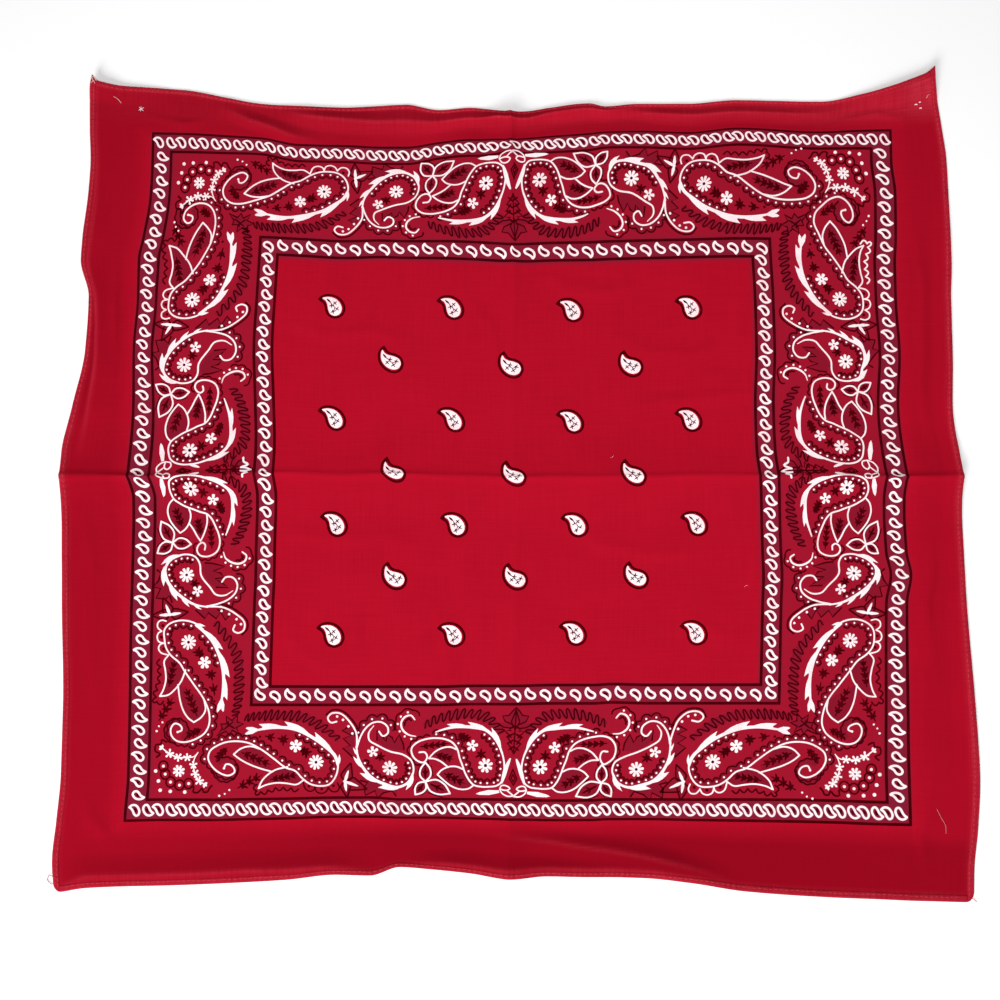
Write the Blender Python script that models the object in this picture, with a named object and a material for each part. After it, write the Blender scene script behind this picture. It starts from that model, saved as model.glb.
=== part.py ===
"""Bandana laid flat on a table: one hemmed cotton panel with its folds and curled edges.

The cloth is worked out in two steps. A point is named by where it lies on the flat cut (u across,
v up, in millimetres from the middle of the cut). The section tables then say where that point lies
on the table, and the fold table says how far the cloth stands off the table there.
"""
from collections import namedtuple

import bmesh
import bpy
import numpy as np

# ---------------------------------------------------------------- driving sizes, in millimetres
CUT_WIDTH = 564.0          # flat cut, hem edge to hem edge
CUT_HEIGHT = 522.0
HEM_WIDTH = 4.0            # turned and stitched strip along each edge
SEAM_GAP = 0.3             # between the panel and each hem, and between hems at the corners
PANEL_WALL = 1.2           # panel thickness
HEM_WALL = 1.8             # hem thickness: the cloth turned on itself
HEM_ROUND = 0.7            # how far in the hem's outer edge starts to round off
CORNER_ROUND = 6.0         # radius of the rounded corners at the bottom of the cloth
METRES = 0.001

HALF_WIDTH = CUT_WIDTH / 2.0
HALF_HEIGHT = CUT_HEIGHT / 2.0

# The printed frames on the cut: the cloth keeps its shape best along these lines.
FRAME_LEFT = -238.0
FRAME_RIGHT = 244.0
FRAME_TOP = 222.0
FRAME_BOTTOM = -216.0
FIELD_LEFT = -161.0
FIELD_RIGHT = 164.0
FIELD_TOP = 152.5
FIELD_BOTTOM = -143.5

# Where the upright lines of the cut lie on the table (x), section by section down the cloth.
AcrossSection = namedtuple(
    "AcrossSection", "v edge_left frame_left field_left field_right frame_right edge_right")
ACROSS_SECTIONS = (
    AcrossSection(261, -271.5, -232.0, -162.5, 162.0, 241.0, 266.5),
    AcrossSection(245, -272.5, -232.5, -162.5, 162.0, 241.0, 269.5),
    AcrossSection(222, -272.0, -232.5, -162.5, 162.0, 240.5, 272.5),
    AcrossSection(200, -271.0, -232.5, -162.5, 162.0, 240.5, 275.0),
    AcrossSection(180, -272.0, -233.0, -163.0, 161.5, 242.5, 275.5),
    AcrossSection(152, -275.0, -237.0, -163.0, 162.0, 242.0, 276.0),
    AcrossSection(138, -275.5, -239.5, -163.5, 162.5, 241.0, 276.0),
    AcrossSection(115, -270.0, -239.5, -164.5, 163.5, 241.0, 275.0),
    AcrossSection(80, -271.5, -241.5, -166.0, 164.0, 242.5, 275.0),
    AcrossSection(45, -278.5, -241.0, -164.5, 162.5, 240.5, 274.0),
    AcrossSection(15, -284.0, -242.0, -163.5, 163.0, 242.5, 277.0),
    AcrossSection(0, -284.0, -242.5, -164.0, 164.5, 244.0, 278.0),
    AcrossSection(-14, -283.5, -239.0, -162.0, 163.5, 242.5, 277.5),
    AcrossSection(-80, -281.5, -239.0, -163.0, 162.5, 241.5, 279.0),
    AcrossSection(-144, -279.0, -238.5, -164.0, 160.5, 241.0, 282.5),
    AcrossSection(-185, -279.0, -238.5, -164.5, 160.0, 241.5, 284.0),
    AcrossSection(-216, -281.0, -240.0, -164.5, 160.0, 241.5, 282.0),
    AcrossSection(-240, -283.0, -239.5, -164.5, 159.5, 241.5, 279.0),
    AcrossSection(-261, -281.0, -239.5, -165.0, 159.5, 241.5, 278.0),
)

# Where the level lines of the cut lie on the table (y), section by section across the cloth.
DownSection = namedtuple(
    "DownSection", "u edge_top frame_top field_top field_bottom frame_bottom edge_bottom")
DOWN_SECTIONS = (
    DownSection(-282, 253.0, 221.5, 151.5, -143.5, -213.0, -256.0),
    DownSection(-262, 250.0, 221.0, 151.5, -143.5, -213.5, -253.0),
    DownSection(-238, 249.0, 220.0, 151.5, -143.5, -213.5, -252.0),
    DownSection(-214, 247.5, 219.5, 151.0, -143.5, -213.0, -251.5),
    DownSection(-185, 242.5, 218.0, 151.0, -143.5, -213.0, -250.5),
    DownSection(-161, 238.5, 216.5, 151.0, -143.5, -212.5, -249.5),
    DownSection(-135, 237.0, 212.0, 149.5, -143.5, -212.0, -248.0),
    DownSection(-105, 236.0, 211.5, 148.0, -143.5, -211.0, -245.0),
    DownSection(-84, 237.0, 210.5, 149.0, -143.5, -211.0, -245.5),
    DownSection(-66, 238.0, 210.5, 149.5, -143.5, -211.5, -240.5),
    DownSection(-45, 234.5, 213.5, 149.5, -143.5, -211.5, -242.0),
    DownSection(-25, 236.0, 215.5, 149.0, -143.0, -212.0, -244.0),
    DownSection(3, 232.5, 215.5, 147.5, -142.0, -212.5, -247.5),
    DownSection(24, 235.5, 217.5, 148.5, -141.0, -213.0, -246.0),
    DownSection(50, 238.5, 219.5, 149.0, -142.0, -213.0, -246.5),
    DownSection(60, 236.5, 220.5, 149.5, -142.0, -212.5, -246.5),
    DownSection(82, 238.5, 221.0, 150.0, -142.5, -212.5, -247.0),
    DownSection(112, 238.5, 220.0, 150.0, -142.5, -213.0, -250.0),
    DownSection(144, 241.0, 223.0, 150.0, -142.5, -213.5, -255.0),
    DownSection(195, 240.0, 220.5, 150.0, -142.5, -214.5, -258.5),
    DownSection(222, 244.5, 221.5, 150.0, -143.0, -215.5, -259.5),
    DownSection(244, 249.5, 222.0, 150.0, -143.0, -216.0, -260.5),
    DownSection(262, 254.0, 222.5, 150.0, -143.5, -216.5, -261.0),
    DownSection(282, 258.5, 223.5, 150.0, -143.5, -217.0, -261.5),
)

# Folds, each a ridge along a line of points on the cut, with its height at each point. reach_left
# and reach_right are how far its two flanks spread, looking along the line; crest is 0 for a soft
# rounded back and 1 for a sharp pressed one.
Fold = namedtuple("Fold", "name line heights reach_left reach_right crest")
FOLDS = (
    Fold("middle crease, pressed across the cloth",
         ((-282, 0), (-238, 0), (-150, 0), (0, 0), (150, 0), (244, 0), (282, 0)),
         (5.0, 4.5, 3.0, 3.0, 3.0, 4.5, 5.0), 34, 34, 0.9),
    Fold("upright crease, pressed down the cloth",
         ((0, 261), (0, 222), (0, 150), (0, 30), (0, -30), (0, -150), (0, -216), (0, -261)),
         (4.0, 4.0, 1.6, 1.0, 1.0, 1.4, 2.0, 2.5), 22, 22, 0.8),
    Fold("left margin, the edge curling up and then leaving it",
         ((-278, 261), (-278, 215), (-275, 152), (-276, 122), (-271, 95), (-269, 65), (-269, 42),
          (-270, 12)),
         (1.5, 2.6, 4.2, 4.5, 5.0, 4.5, 3.4, 0.0), 26, 9, 0.5),
    Fold("top margin, left of the middle",
         ((-150, 255), (-121, 248), (-84, 244), (-45, 244), (-8, 245)),
         (0.0, 4.2, 3.6, 3.2, 4.4), 16, 14, 0.5),
    Fold("top margin, right of the middle",
         ((-8, 245), (12, 246), (26, 251), (58, 252), (82, 257)),
         (4.4, 4.6, 4.0, 3.6, 0.0), 14, 20, 0.5),
    Fold("top margin, low roll towards the right",
         ((70, 250), (96, 243), (140, 240), (180, 241), (214, 246)),
         (0.0, 3.0, 3.2, 2.4, 0.0), 14, 14, 0.3),
    Fold("top right corner, lifted",
         ((206, 261), (244, 259), (268, 257), (281, 259)),
         (0.0, 3.4, 4.6, 6.0), 20, 22, 0.1),
    Fold("top left corner, lifted",
         ((-225, 260), (-262, 258), (-281, 259)),
         (0.0, 2.0, 3.4), 16, 16, 0.1),
    Fold("top margin, short slanting fold",
         ((-192, 252), (-168, 238), (-146, 230), (-120, 224)),
         (0.0, 2.8, 3.0, 0.0), 14, 10, 0.3),
    Fold("bottom edge, turned up on the left",
         ((-280, -258), (-262, -253), (-221, -253), (-161, -252), (-112, -254), (-80, -258)),
         (0.6, 2.6, 3.4, 3.6, 3.2, 0.0), 17, 8, 0.6),
    Fold("bottom edge, turned up in the middle",
         ((-66, -257), (-38, -254), (10, -254), (50, -254), (90, -255), (132, -258)),
         (0.0, 2.6, 3.0, 3.0, 2.8, 0.0), 14, 7, 0.6),
    Fold("bottom margin, slanting fold",
         ((-12, -226), (24, -231), (58, -238), (96, -246), (138, -256)),
         (0.0, 2.4, 3.0, 3.2, 0.0), 12, 16, 0.4),
    Fold("right edge, curling slightly",
         ((279, 210), (279, 150), (279, 60), (279, -60), (279, -150), (279, -215)),
         (0.0, 1.2, 1.6, 1.4, 1.8, 0.0), 6, 12, 0.2),
)

# Corners drawn out to a point where the two hems are turned over each other.
Tip = namedtuple("Tip", "u v pull_x pull_y reach")
TIPS = (
    Tip(-282, 261, 1.0, 3.6, 7.0),
    Tip(282, 261, 1.0, 3.0, 9.0),
)
ROUNDED_CORNERS = ((-1.0, -1.0), (1.0, -1.0))

# Grid lines of the panel: ends of each stretch of the cut and the number of cells in it.
Stretch = namedtuple("Stretch", "start end cells")
ACROSS_GRID = (
    Stretch(-HALF_WIDTH + HEM_WIDTH + SEAM_GAP, -266.0, 4),
    Stretch(-266.0, FRAME_LEFT, 3),
    Stretch(FRAME_LEFT, FIELD_LEFT, 5),
    Stretch(FIELD_LEFT, -18.0, 9),
    Stretch(-18.0, 18.0, 4),
    Stretch(18.0, FIELD_RIGHT, 9),
    Stretch(FIELD_RIGHT, FRAME_RIGHT, 5),
    Stretch(FRAME_RIGHT, HALF_WIDTH - HEM_WIDTH - SEAM_GAP, 4),
)
DOWN_GRID = (
    Stretch(-HALF_HEIGHT + HEM_WIDTH + SEAM_GAP, -245.0, 4),
    Stretch(-245.0, FRAME_BOTTOM, 5),
    Stretch(FRAME_BOTTOM, FIELD_BOTTOM, 4),
    Stretch(FIELD_BOTTOM, -24.0, 8),
    Stretch(-24.0, 24.0, 6),
    Stretch(24.0, FIELD_TOP, 8),
    Stretch(FIELD_TOP, FRAME_TOP, 5),
    Stretch(FRAME_TOP, 240.0, 3),
    Stretch(240.0, HALF_HEIGHT - HEM_WIDTH - SEAM_GAP, 5),
)
HEM_END_CELLS = 3          # cells of a side hem across the corner, beyond the panel

CLOTH_RED = (0.42, 0.008, 0.022)
HEM_RED = (0.36, 0.007, 0.020)
CLOTH_ROUGHNESS = 0.9


# ---------------------------------------------------------------- the laid cloth
def smooth_through(stations, values, at):
    """Value at each point of a smooth curve through the stations that never overshoots them.

    values holds one row of station values for each point, or a single row for all of them.
    """
    values = np.broadcast_to(values, (len(at), len(stations)))
    steps = np.diff(stations)
    rises = np.diff(values, axis=1) / steps
    slopes = np.zeros(values.shape)
    before = rises[:, :-1]
    after = rises[:, 1:]
    same_way = before * after > 0.0
    total = np.where(same_way, before + after, 1.0)
    slopes[:, 1:-1] = np.where(same_way, 2.0 * before * after / total, 0.0)
    slopes[:, 0] = rises[:, 0]
    slopes[:, -1] = rises[:, -1]
    index = np.clip(np.searchsorted(stations, at, side="right") - 1, 0, len(steps) - 1)
    rows = np.arange(len(at))
    step = steps[index]
    part = np.clip((at - stations[index]) / step, 0.0, 1.0)
    start = values[rows, index]
    end = values[rows, index + 1]
    lean_in = slopes[rows, index] * step
    lean_out = slopes[rows, index + 1] * step
    rise = end - start
    curve = 3.0 * rise - 2.0 * lean_in - lean_out
    twist = lean_in + lean_out - 2.0 * rise
    return start + part * (lean_in + part * (curve + part * twist))


def table_columns(sections):
    """Station values and the table of the other columns, sorted by rising station."""
    rows = np.array(sorted(tuple(section) for section in sections), dtype=float)
    return rows[:, 0], rows[:, 1:]


def laid_along(stations, columns, lines, along, across):
    """Place on the table of points named by a station along and a cut place across."""
    line_places = np.stack(
        [smooth_through(stations, column, along) for column in columns.T], axis=1)
    return smooth_through(lines, line_places, across)


def round_corners(u, v):
    """Draw the cut's bottom corners in from square to round."""
    u = u.copy()
    v = v.copy()
    for side_u, side_v in ROUNDED_CORNERS:
        near_u = 1.0 - (HALF_WIDTH - u * side_u) / CORNER_ROUND
        near_v = 1.0 - (HALF_HEIGHT - v * side_v) / CORNER_ROUND
        inside = (near_u > 0.0) & (near_v > 0.0)
        round_u = near_u * np.sqrt(np.clip(1.0 - near_v ** 2 / 2.0, 0.0, 1.0))
        round_v = near_v * np.sqrt(np.clip(1.0 - near_u ** 2 / 2.0, 0.0, 1.0))
        u = np.where(inside, side_u * (HALF_WIDTH - CORNER_ROUND * (1.0 - round_u)), u)
        v = np.where(inside, side_v * (HALF_HEIGHT - CORNER_ROUND * (1.0 - round_v)), v)
    return u, v


def fold_height(fold, u, v):
    """How high one fold lifts each point of the cut."""
    nearest = np.full(len(u), np.inf)
    height = np.zeros(len(u))
    side = np.zeros(len(u))
    joints = zip(fold.line[:-1], fold.line[1:], fold.heights[:-1], fold.heights[1:])
    for (start_u, start_v), (end_u, end_v), start_height, end_height in joints:
        run_u = end_u - start_u
        run_v = end_v - start_v
        length_squared = run_u ** 2 + run_v ** 2
        part = ((u - start_u) * run_u + (v - start_v) * run_v) / length_squared
        part = np.clip(part, 0.0, 1.0)
        off_u = u - (start_u + part * run_u)
        off_v = v - (start_v + part * run_v)
        distance = np.hypot(off_u, off_v)
        closer = distance < nearest
        nearest = np.where(closer, distance, nearest)
        here = start_height + part * (end_height - start_height)
        height = np.where(closer, here, height)
        side = np.where(closer, run_u * off_v - run_v * off_u, side)
    reach = np.where(side > 0.0, fold.reach_left, fold.reach_right)
    rest = np.clip(1.0 - nearest / reach, 0.0, 1.0)
    soft = rest ** 2 * (3.0 - 2.0 * rest)
    sharp = rest ** 2
    return height * ((1.0 - fold.crest) * soft + fold.crest * sharp)


def lay(u, v):
    """Place on the table (x, y) and lift of points of the cut, in millimetres."""
    u, v = round_corners(np.asarray(u, dtype=float), np.asarray(v, dtype=float))
    across_lines = np.array((-HALF_WIDTH, FRAME_LEFT, FIELD_LEFT, FIELD_RIGHT, FRAME_RIGHT, HALF_WIDTH))
    down_lines = np.array((-HALF_HEIGHT, FRAME_BOTTOM, FIELD_BOTTOM, FIELD_TOP, FRAME_TOP, HALF_HEIGHT))
    v_stations, across_columns = table_columns(ACROSS_SECTIONS)
    u_stations, down_columns = table_columns(DOWN_SECTIONS)
    x = laid_along(v_stations, across_columns, across_lines, v, u)
    y = laid_along(u_stations, down_columns[:, ::-1], down_lines, u, v)
    for tip in TIPS:
        pull = np.clip(1.0 - np.hypot(u - tip.u, v - tip.v) / tip.reach, 0.0, 1.0) ** 2
        x = x + pull * tip.pull_x
        y = y + pull * tip.pull_y
    lift = np.zeros(len(u))
    for fold in FOLDS:
        lift = lift + fold_height(fold, u, v)
    return x, y, lift


# ---------------------------------------------------------------- building the solids
def grid_lines(stretches):
    """Every grid line of a run of stretches, from its first end to its last."""
    lines = [stretches[0].start]
    for stretch in stretches:
        for cell in range(1, stretch.cells + 1):
            lines.append(stretch.start + (stretch.end - stretch.start) * cell / stretch.cells)
    return lines


def side_hem_stations():
    """Stations along a side hem: the panel's own, and more at the corners beyond the panel."""
    ends = [HALF_HEIGHT - HEM_WIDTH * step / HEM_END_CELLS for step in range(HEM_END_CELLS)]
    return [-end for end in ends] + grid_lines(DOWN_GRID) + ends[::-1]


def new_material(name, colour):
    """A plain cloth material."""
    material = bpy.data.materials.new(name)
    material.use_nodes = True
    shader = material.node_tree.nodes["Principled BSDF"]
    shader.inputs["Base Color"].default_value = (*colour, 1.0)
    shader.inputs["Roughness"].default_value = CLOTH_ROUGHNESS
    shader.inputs["Metallic"].default_value = 0.0
    return material


def new_object(name, bm, material):
    """Turn a bmesh into a smooth-shaded object with outward faces."""
    bmesh.ops.recalc_face_normals(bm, faces=bm.faces)
    mesh = bpy.data.meshes.new(name)
    bm.to_mesh(mesh)
    bm.free()
    mesh.shade_smooth()
    piece = bpy.data.objects.new(name, mesh)
    piece.data.materials.append(material)
    bpy.context.scene.collection.objects.link(piece)
    return piece


def panel(material):
    """The panel: an upper and an under sheet on one grid, joined round the rim."""
    across = grid_lines(ACROSS_GRID)
    down = grid_lines(DOWN_GRID)
    grid_u, grid_v = np.meshgrid(across, down)
    x, y, lift = lay(grid_u.ravel(), grid_v.ravel())
    bm = bmesh.new()
    under = [bm.verts.new((px * METRES, py * METRES, pz * METRES))
             for px, py, pz in zip(x, y, lift)]
    upper = [bm.verts.new((px * METRES, py * METRES, (pz + PANEL_WALL) * METRES))
             for px, py, pz in zip(x, y, lift)]
    columns = len(across)
    rows = len(down)
    for row in range(rows - 1):
        for column in range(columns - 1):
            corner = row * columns + column
            ring = (corner, corner + 1, corner + columns + 1, corner + columns)
            # The cell is cut along the diagonal whose ends are closer in height.
            rising = abs(lift[ring[0]] - lift[ring[2]])
            falling = abs(lift[ring[1]] - lift[ring[3]])
            if rising <= falling:
                halves = ((ring[0], ring[1], ring[2]), (ring[0], ring[2], ring[3]))
            else:
                halves = ((ring[0], ring[1], ring[3]), (ring[1], ring[2], ring[3]))
            for half in halves:
                bm.faces.new([upper[point] for point in half])
                bm.faces.new([under[point] for point in reversed(half)])
    rim = list(range(columns))
    rim += [row * columns + columns - 1 for row in range(1, rows)]
    rim += [(rows - 1) * columns + column for column in range(columns - 2, -1, -1)]
    rim += [row * columns for row in range(rows - 2, 0, -1)]
    for here, there in zip(rim, rim[1:] + rim[:1]):
        bm.faces.new((under[here], under[there], upper[there], upper[here]))
    return new_object("panel", bm, material)


def hem_section():
    """Cross-section of a hem: distance in from its edge, and height over the underside."""
    return (
        (HEM_WIDTH, 0.0),
        (HEM_ROUND, 0.0),
        (0.0, HEM_WALL / 3.0),
        (0.0, HEM_WALL * 2.0 / 3.0),
        (HEM_ROUND, HEM_WALL),
        (HEM_WIDTH, HEM_WALL),
    )


def hem(name, material, stations, place):
    """A hem strip through its stations; place turns (station, distance in) into a point of the cut."""
    bm = bmesh.new()
    rings = []
    for station in stations:
        points = [place(station, inward) for inward, _ in hem_section()]
        x, y, lift = lay([point[0] for point in points], [point[1] for point in points])
        ring = []
        for px, py, base, (_, height) in zip(x, y, lift, hem_section()):
            ring.append(bm.verts.new((px * METRES, py * METRES, (base + height) * METRES)))
        rings.append(ring)
    for ring, following in zip(rings[:-1], rings[1:]):
        for side in range(len(ring)):
            other = (side + 1) % len(ring)
            bm.faces.new((ring[side], ring[other], following[other], following[side]))
    bm.faces.new(rings[0])
    bm.faces.new(rings[-1])
    bmesh.ops.triangulate(bm, faces=bm.faces)
    return new_object(name, bm, material)


def main():
    """Clear the scene and build the cloth."""
    for leftover in list(bpy.data.objects):
        bpy.data.objects.remove(leftover, do_unlink=True)
    cloth_red = new_material("cloth_red", CLOTH_RED)
    hem_red = new_material("hem_red", HEM_RED)
    panel(cloth_red)
    sides = side_hem_stations()
    ends = grid_lines(ACROSS_GRID)
    hem("hem_left", hem_red, sides, lambda station, inward: (-HALF_WIDTH + inward, station))
    hem("hem_right", hem_red, sides, lambda station, inward: (HALF_WIDTH - inward, station))
    hem("hem_top", hem_red, ends, lambda station, inward: (station, HALF_HEIGHT - inward))
    hem("hem_bottom", hem_red, ends, lambda station, inward: (station, -HALF_HEIGHT + inward))


main()
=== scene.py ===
"""The looks of a printed cotton bandana laid flat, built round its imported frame.

A point of the cloth is named by its place on the flat cut: u across and v up, in millimetres from the
middle of the cut. LaidCloth says where that point lies on the table. Lengths are in millimetres in the
tables and in metres on the meshes.
"""
from __future__ import annotations

import logging
import math
from collections.abc import Sequence
from dataclasses import dataclass, field
from enum import Enum

import bpy
import numpy as np
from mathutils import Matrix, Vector
from mathutils.geometry import delaunay_2d_cdt

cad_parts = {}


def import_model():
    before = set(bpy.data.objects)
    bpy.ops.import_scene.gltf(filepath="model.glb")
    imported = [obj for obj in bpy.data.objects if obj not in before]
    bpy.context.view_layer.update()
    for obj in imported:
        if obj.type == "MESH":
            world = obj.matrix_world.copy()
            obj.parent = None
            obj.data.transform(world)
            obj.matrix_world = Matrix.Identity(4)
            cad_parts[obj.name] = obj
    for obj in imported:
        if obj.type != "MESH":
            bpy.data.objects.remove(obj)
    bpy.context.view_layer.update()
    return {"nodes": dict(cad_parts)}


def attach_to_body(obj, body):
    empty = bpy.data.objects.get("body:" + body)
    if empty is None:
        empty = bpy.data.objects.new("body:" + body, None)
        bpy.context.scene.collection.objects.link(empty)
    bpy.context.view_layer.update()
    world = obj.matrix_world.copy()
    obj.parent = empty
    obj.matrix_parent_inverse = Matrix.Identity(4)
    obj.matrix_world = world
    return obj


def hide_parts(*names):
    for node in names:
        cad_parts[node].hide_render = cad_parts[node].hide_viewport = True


LOG = logging.getLogger("bandana")

Array = np.ndarray
Piece = bpy.types.Object
Points = Sequence[Sequence[float]]
Socket = bpy.types.NodeSocket

METRES = 0.001
HALF_WIDTH = 282.0
HALF_HEIGHT = 261.0
HEM_WIDTH = 4.0
CORNER_ROUND = 6.0
THREADS_PER_METRE = 2600.0
HALF_SIDE = 238.0          # half a border side on the motifs' own axes
BORDER_DEPTH = 69.5        # from the outer line to the field's, on the motifs' own axes

# The printed frames on the cut: the outer line of each rope frame.
FRAME_LEFT = -238.0
FRAME_RIGHT = 244.0
FRAME_TOP = 222.0
FRAME_BOTTOM = -216.0
FIELD_LEFT = -161.0
FIELD_RIGHT = 164.0
FIELD_TOP = 152.5
FIELD_BOTTOM = -143.5
OUTER_BAND = 15.0          # from a frame's outer line to its inner one
INNER_BAND = 13.2

# Where the upright lines of the cut lie on the table (x), section by section down the cloth:
# v, then the left edge, frame and field, and the right field, frame and edge.
ACROSS_SECTIONS = (
    (261, -271.5, -232, -162.5, 162, 241, 266.5),
    (245, -272.5, -232.5, -162.5, 162, 241, 269.5),
    (222, -272, -232.5, -162.5, 162, 240.5, 272.5),
    (200, -271, -232.5, -162.5, 162, 240.5, 275),
    (180, -272, -233, -163, 161.5, 242.5, 275.5),
    (152, -275, -237, -163, 162, 242, 276),
    (138, -275.5, -239.5, -163.5, 162.5, 241, 276),
    (115, -270, -239.5, -164.5, 163.5, 241, 275),
    (80, -271.5, -241.5, -166, 164, 242.5, 275),
    (45, -278.5, -241, -164.5, 162.5, 240.5, 274),
    (15, -284, -242, -163.5, 163, 242.5, 277),
    (0, -284, -242.5, -164, 164.5, 244, 278),
    (-14, -283.5, -239, -162, 165, 242.5, 277.5),
    (-48, -282.5, -239, -162.5, 165.5, 243.5, 278.2),
    (-62, -282, -239, -162.5, 166, 246, 278.5),
    (-80, -281.5, -239, -163, 165, 243, 279),
    (-144, -279, -238.5, -164, 162.5, 242, 282.5),
    (-185, -279, -238.5, -164.5, 160, 241.5, 284),
    (-216, -281, -240, -164.5, 160, 241.5, 282),
    (-240, -283, -239.5, -164.5, 159.5, 241.5, 279),
    (-261, -281, -239.5, -165, 159.5, 241.5, 278),
)

# Where the level lines of the cut lie on the table (y), section by section across the cloth:
# u, then the top edge, frame and field, and the bottom field, frame and edge.
DOWN_SECTIONS = (
    (-282, 253, 221.5, 151.2, -143.5, -213, -256),
    (-262, 250, 221, 151.2, -143.5, -213.5, -253),
    (-238, 249, 220, 151, -143.5, -213.5, -252),
    (-214, 247.5, 219.5, 150.6, -143.5, -213, -251.5),
    (-185, 242.5, 218, 151.2, -143.5, -213, -250.5),
    (-161, 238.5, 216.5, 152.3, -143.5, -212.5, -249.5),
    (-135, 237, 212, 151, -143.5, -212, -248),
    (-105, 236, 211.5, 149.5, -143.5, -211, -245),
    (-84, 237, 210.5, 150, -143.5, -211, -245.5),
    (-66, 238, 210.5, 149.5, -143.5, -211.5, -240.5),
    (-45, 234.5, 213.5, 149.5, -143.5, -211.5, -242),
    (-25, 236, 215.5, 149, -143, -212, -244),
    (3, 232.5, 215.5, 147.5, -143, -212.5, -247.5),
    (24, 235.5, 217.5, 148.5, -142.6, -213, -246),
    (50, 238.5, 219.5, 149, -142.6, -213, -246.5),
    (60, 236.5, 220.5, 149.5, -142, -212.5, -246.5),
    (82, 238.5, 221, 150, -142.5, -212.5, -247),
    (112, 238.5, 220, 150.6, -142.5, -213, -250),
    (144, 241, 223, 151.4, -142.5, -213.5, -255),
    (195, 240, 220.5, 150.2, -142.5, -214.5, -258.5),
    (222, 244.5, 221.5, 149.6, -143, -215.5, -259.5),
    (244, 249.5, 222, 149.6, -143, -216, -260.5),
    (262, 254, 222.5, 149.6, -143.5, -216.5, -261),
    (282, 258.5, 223.5, 149.6, -143.5, -217, -261.5),
)
ROUNDED_CORNERS = ((-1, -1), (1, -1))


class Ink(Enum):
    """The inks of the print."""

    SHADE = "shade"
    WHITE = "white"
    DARK = "dark"
    MARKS = "marks"


class Edge(Enum):
    """The four edges of the cloth."""

    LEFT = "left"
    RIGHT = "right"
    TOP = "top"
    BOTTOM = "bottom"


@dataclass(frozen=True)
class Fold:
    """A ridge along a line of points on the cut, with its height at each point.

    reach_left and reach_right are how far its flanks spread, looking along the line; crest is 0 for a
    soft rounded back and 1 for a sharp pressed one.
    """

    line: tuple[tuple[float, float], ...]
    heights: tuple[float, ...]
    reach_left: float
    reach_right: float
    crest: float


# The folds that the frame's solids carry.
FOLDS = (
    Fold(((-282, 0), (-238, 0), (-150, 0), (0, 0), (150, 0), (244, 0), (282, 0)),
         (5, 4.5, 3, 3, 3, 4.5, 5), 34, 34, 0.9),
    Fold(((0, 261), (0, 222), (0, 150), (0, 30), (0, -30), (0, -150), (0, -216), (0, -261)),
         (4, 4, 1.6, 1, 1, 1.4, 2, 2.5), 22, 22, 0.8),
    Fold(((-278, 261), (-278, 215), (-275, 152), (-276, 122), (-271, 95), (-269, 65), (-269, 42),
          (-270, 12)), (1.5, 2.6, 4.2, 4.5, 5, 4.5, 3.4, 0), 26, 9, 0.5),
    Fold(((-150, 255), (-121, 248), (-84, 244), (-45, 244), (-8, 245)),
         (0, 4.2, 3.6, 3.2, 4.4), 16, 14, 0.5),
    Fold(((-8, 245), (12, 246), (26, 251), (58, 252), (82, 257)),
         (4.4, 4.6, 4, 3.6, 0), 14, 20, 0.5),
    Fold(((70, 250), (96, 243), (140, 240), (180, 241), (214, 246)),
         (0, 3, 3.2, 2.4, 0), 14, 14, 0.3),
    Fold(((206, 261), (244, 259), (268, 257), (281, 259)), (0, 3.4, 4.6, 6), 20, 22, 0.1),
    Fold(((-225, 260), (-262, 258), (-281, 259)), (0, 2, 3.4), 16, 16, 0.1),
    Fold(((-192, 252), (-168, 238), (-146, 230), (-120, 224)), (0, 2.8, 3, 0), 14, 10, 0.3),
    Fold(((-280, -258), (-262, -253), (-221, -253), (-161, -252), (-112, -254), (-80, -258)),
         (0.6, 2.6, 3.4, 3.6, 3.2, 0), 17, 8, 0.6),
    Fold(((-66, -257), (-38, -254), (10, -254), (50, -254), (90, -255), (132, -258)),
         (0, 2.6, 3, 3, 2.8, 0), 14, 7, 0.6),
    Fold(((-12, -226), (24, -231), (58, -238), (96, -246), (138, -256)),
         (0, 2.4, 3, 3.2, 0), 12, 16, 0.4),
    Fold(((279, 210), (279, 150), (279, 60), (279, -60), (279, -150), (279, -215)),
         (0, 1.2, 1.6, 1.4, 1.8, 0), 6, 12, 0.2),
)

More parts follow.
